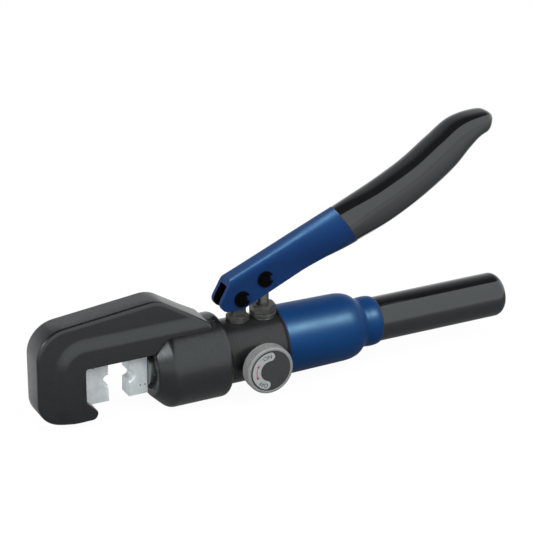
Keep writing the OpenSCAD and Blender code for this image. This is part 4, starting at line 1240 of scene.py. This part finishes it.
class CRIMPER_OT_finishes(bpy.types.Operator):
    """Give every CAD node that stays shown its procedural finish"""

    bl_idname = "crimper.finishes"
    bl_label = "Finishes"

    special = {
        "pump_body": "pump_steel", "fulcrum_pin": "clip_black", "plunger_pin": "clip_black",
        "pin_clips": "clip_black", "pump_plunger": "plunger_steel", "ram": "bright_steel",
    }

    def execute(self, context):
        slots = {part["node"]: part["material_slot"] for part in frame["record"]["subparts"]}
        for name, obj in frame["nodes"].items():
            if obj.hide_render:
                continue
            material = finish(self.special.get(name, slots[name]))
            obj.data.materials.clear()
            obj.data.materials.append(material)
        return {"FINISHED"}


# Stage


def softbox(name, place, target, size, power, mirrored=True, only=None):
    """Rectangular area light that faces a target.

    It may be left out of mirrors, or be a gloss light that only some objects mirror.
    """
    light = bpy.data.lights.new(name, "AREA")
    light.shape = "RECTANGLE"
    light.size, light.size_y = size
    light.energy = power
    obj = bpy.data.objects.new(name, light)
    obj.location = place
    obj.visible_glossy = mirrored
    if only:
        obj.visible_diffuse = False
        lit = bpy.data.collections.new(name)
        for receiver in only:
            lit.objects.link(receiver)
        obj.light_linking.receiver_collection = lit
    obj.rotation_euler = (Vector(target) - Vector(place)).to_track_quat("-Z", "Y").to_euler()
    bpy.context.scene.collection.objects.link(obj)


def ranged(tree, value, low, high, to_low=0.0, to_high=1.0):
    """Node that maps a value from one range to another and holds its ends."""
    node = tree.nodes.new("ShaderNodeMapRange")
    limits = {"From Min": low, "From Max": high, "To Min": to_low, "To Max": to_high}
    for name, limit in limits.items():
        node.inputs[name].default_value = limit
    tree.links.new(value, node.inputs["Value"])
    return node


def mixed(tree, share, first, second):
    """Colour between two, each of them a grey level or a socket, by a share."""
    node = tree.nodes.new("ShaderNodeMixRGB")
    tree.links.new(share, node.inputs["Fac"])
    for name, side in (("Color1", first), ("Color2", second)):
        if isinstance(side, float):
            node.inputs[name].default_value = (side, side, side, 1)
        else:
            tree.links.new(side, node.inputs[name])
    return node.outputs["Color"]


# Plane that parts the mirrored room's bright front from its rear, and the blur of the edge there
FRONT_EDGE = (-0.54, 1.0, 0.31)
EDGE_BLUR = 0.015


def studio_world(stage):
    """White to the camera, a weak even fill, and a room for mirrors.

    The room is bright in front of the tool. Behind it, it darkens from the horizon to the zenith.
    """
    world = bpy.data.worlds.new("studio")
    world.use_nodes = True
    tree = world.node_tree
    path = tree.nodes.new("ShaderNodeLightPath").outputs
    place = tree.nodes.new("ShaderNodeTexCoord").outputs["Generated"]
    split = tree.nodes.new("ShaderNodeSeparateXYZ")
    edge = tree.nodes.new("ShaderNodeVectorMath")
    edge.operation = "DOT_PRODUCT"
    edge.inputs[1].default_value = FRONT_EDGE
    tree.links.new(place, split.inputs["Vector"])
    tree.links.new(place, edge.inputs[0])
    behind = ranged(tree, edge.outputs["Value"], -EDGE_BLUR, EDGE_BLUR)
    rear = ranged(tree, split.outputs["Z"], 0.0, stage.room_rise, stage.room_low, stage.room_high)
    room = mixed(tree, behind.outputs["Result"], stage.room_front, rear.outputs["Result"])
    unseen = mixed(tree, path["Is Glossy Ray"], stage.fill, room)
    seen = mixed(tree, path["Is Camera Ray"], unseen, 1.0)
    tree.links.new(seen, tree.nodes["Background"].inputs["Color"])
    bpy.context.scene.world = world


# Places along Y between which the mirrored floor is shaded, and its levels there
SHADE_SPAN = (-0.4, 0.2)
SHADE_STOPS = ((0.0, 1.0), (0.667, 0.22), (0.75, 0.9), (1.0, 1.0))


def floor_material(colours, stage):
    """Pale floor that the camera sees nearly white, with the object's shadow kept.

    Mirrors see it darken from far away to the tool's own shade.
    """
    material = bpy.data.materials.new("pale_floor")
    material.use_nodes = True
    tree = material.node_tree
    link = tree.links.new
    shader = tree.nodes["Principled BSDF"]
    shader.inputs["Base Color"].default_value = (*colours.floor, 1)
    shader.inputs["Roughness"].default_value = 0.9
    shader.inputs["Specular IOR Level"].default_value = 0.0
    path = tree.nodes.new("ShaderNodeLightPath").outputs
    place = tree.nodes.new("ShaderNodeTexCoord")
    split = tree.nodes.new("ShaderNodeSeparateXYZ")
    link(place.outputs["Object"], split.inputs["Vector"])
    away = ranged(tree, split.outputs["Y"], *SHADE_SPAN)
    shade = tree.nodes.new("ShaderNodeValToRGB")
    stops = shade.color_ramp.elements
    for at, _ in SHADE_STOPS[1:-1]:
        stops.new(at)
    for stop, (_, grey) in zip(stops, SHADE_STOPS):
        stop.color = (grey, grey, grey, 1)
    link(away.outputs["Result"], shade.inputs["Fac"])
    level = ranged(tree, path["Is Camera Ray"], 0.0, 1.0, 0.0, stage.floor_seen)
    link(shade.outputs["Color"], level.inputs["To Min"])
    glow = tree.nodes.new("ShaderNodeEmission")
    link(level.outputs["Result"], glow.inputs["Strength"])
    either = tree.nodes.new("ShaderNodeMath")
    either.operation = "MAXIMUM"
    link(path["Is Camera Ray"], either.inputs[0])
    link(path["Is Glossy Ray"], either.inputs[1])
    share = tree.nodes.new("ShaderNodeMath")
    share.operation = "MULTIPLY"
    share.inputs[1].default_value = stage.floor_share
    link(either.outputs["Value"], share.inputs[0])
    mix = tree.nodes.new("ShaderNodeMixShader")
    link(share.outputs["Value"], mix.inputs["Fac"])
    link(shader.outputs["BSDF"], mix.inputs[1])
    link(glow.outputs["Emission"], mix.inputs[2])
    link(mix.outputs["Shader"], tree.nodes["Material Output"].inputs["Surface"])
    return material


class CRIMPER_OT_stage(bpy.types.Operator):
    """Set the camera, the pale floor and the soft studio light"""

    bl_idname = "crimper.stage"
    bl_label = "Stage"

    def execute(self, context):
        stage = sizes().stage
        scene = bpy.context.scene
        lens = bpy.data.cameras.new("photo_camera")
        lens.lens = stage.lens
        lens.sensor_width = stage.sensor
        lens.clip_end = 50.0
        camera = bpy.data.objects.new("photo_camera", lens)
        camera.location = stage.camera
        camera.rotation_euler = (math.pi / 2 - stage.elevation, 0, stage.azimuth)
        scene.collection.objects.link(camera)
        scene.camera = camera
        w, z = stage.floor_half, CAD_BOX[0][2]
        mesh = bpy.data.meshes.new("floor")
        mesh.from_pydata([(-w, -w, z), (w, -w, z), (w, w, z), (-w, w, z)], [], [(0, 1, 2, 3)])
        mesh.materials.append(floor_material(sizes().colours, stage))
        floor = bpy.data.objects.new("floor", mesh)
        scene.collection.objects.link(floor)
        target = (-0.11, 0.0, 0.02)
        softboxes = (
            ("key_softbox", (0.35, -1.0, 1.15), (1.8, 1.0), stage.key_power),
            ("top_softbox", (-0.1, 0.45, 1.3), (1.4, 0.8), stage.top_power),
            ("side_softbox", (-1.5, -0.45, 0.7), (0.6, 0.8), stage.side_power),
        )
        for name, place, size, power in softboxes:
            softbox(name, place, target, size, power, mirrored=False)
        strips = (
            ("housing_strip", "housing_shell", (0.5, -0.85, 1.1), 0.5, stage.housing_gloss),
            ("lever_strip", "painted_lever", (-0.3, 0.2, 1.2), 1.2, stage.lever_gloss),
            ("head_strip", "head_casting", (0.1, 1.5, 1.0), 1.2, stage.head_gloss),
            ("nose_strip", "head_casting", (-1.2, -0.12, 0.62), 0.5, stage.nose_gloss),
        )
        for name, painted, place, long, power in strips:
            softbox(name, place, target, (long, 0.35), power, only=[bpy.data.objects[painted]])
        studio_world(stage)
        scene.view_settings.view_transform = "Standard"
        return {"FINISHED"}


class CRIMPER_PT_panel(bpy.types.Panel):
    """Buttons for every piece of the crimping tool"""

    bl_idname = "CRIMPER_PT_panel"
    bl_label = "Crimping tool"
    bl_space_type = "VIEW_3D"
    bl_region_type = "UI"
    bl_category = "Crimper"

    def draw(self, context):
        for operator in OPERATORS:
            self.layout.operator(operator.bl_idname)


GROUPS = (
    CrimperHead, CrimperBody, CrimperLever, CrimperKnob, CrimperColours, CrimperStage, CrimperSizes,
)
OPERATORS = (
    CRIMPER_OT_head, CRIMPER_OT_dies, CRIMPER_OT_housing, CRIMPER_OT_handle, CRIMPER_OT_fittings,
    CRIMPER_OT_lever, CRIMPER_OT_lever_grip, CRIMPER_OT_knob, CRIMPER_OT_label, CRIMPER_OT_springs,
    CRIMPER_OT_finishes, CRIMPER_OT_stage,
)
CLASSES = (*GROUPS, *OPERATORS, CRIMPER_PT_panel)


def register():
    for cls in CLASSES:
        bpy.utils.register_class(cls)
    bpy.types.Scene.crimper_sizes = PointerProperty(type=CrimperSizes)


def unregister():
    del bpy.types.Scene.crimper_sizes
    for cls in reversed(CLASSES):
        bpy.utils.unregister_class(cls)


def main():
    """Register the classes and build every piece."""
    register()
    bpy.ops.crimper.head()
    bpy.ops.crimper.dies()
    bpy.ops.crimper.housing()
    bpy.ops.crimper.handle()
    bpy.ops.crimper.fittings()
    bpy.ops.crimper.lever()
    bpy.ops.crimper.lever_grip()
    bpy.ops.crimper.knob()
    bpy.ops.crimper.label()
    bpy.ops.crimper.springs()
    bpy.ops.crimper.finishes()
    bpy.ops.crimper.stage()


if __name__ == "__main__":
    main()
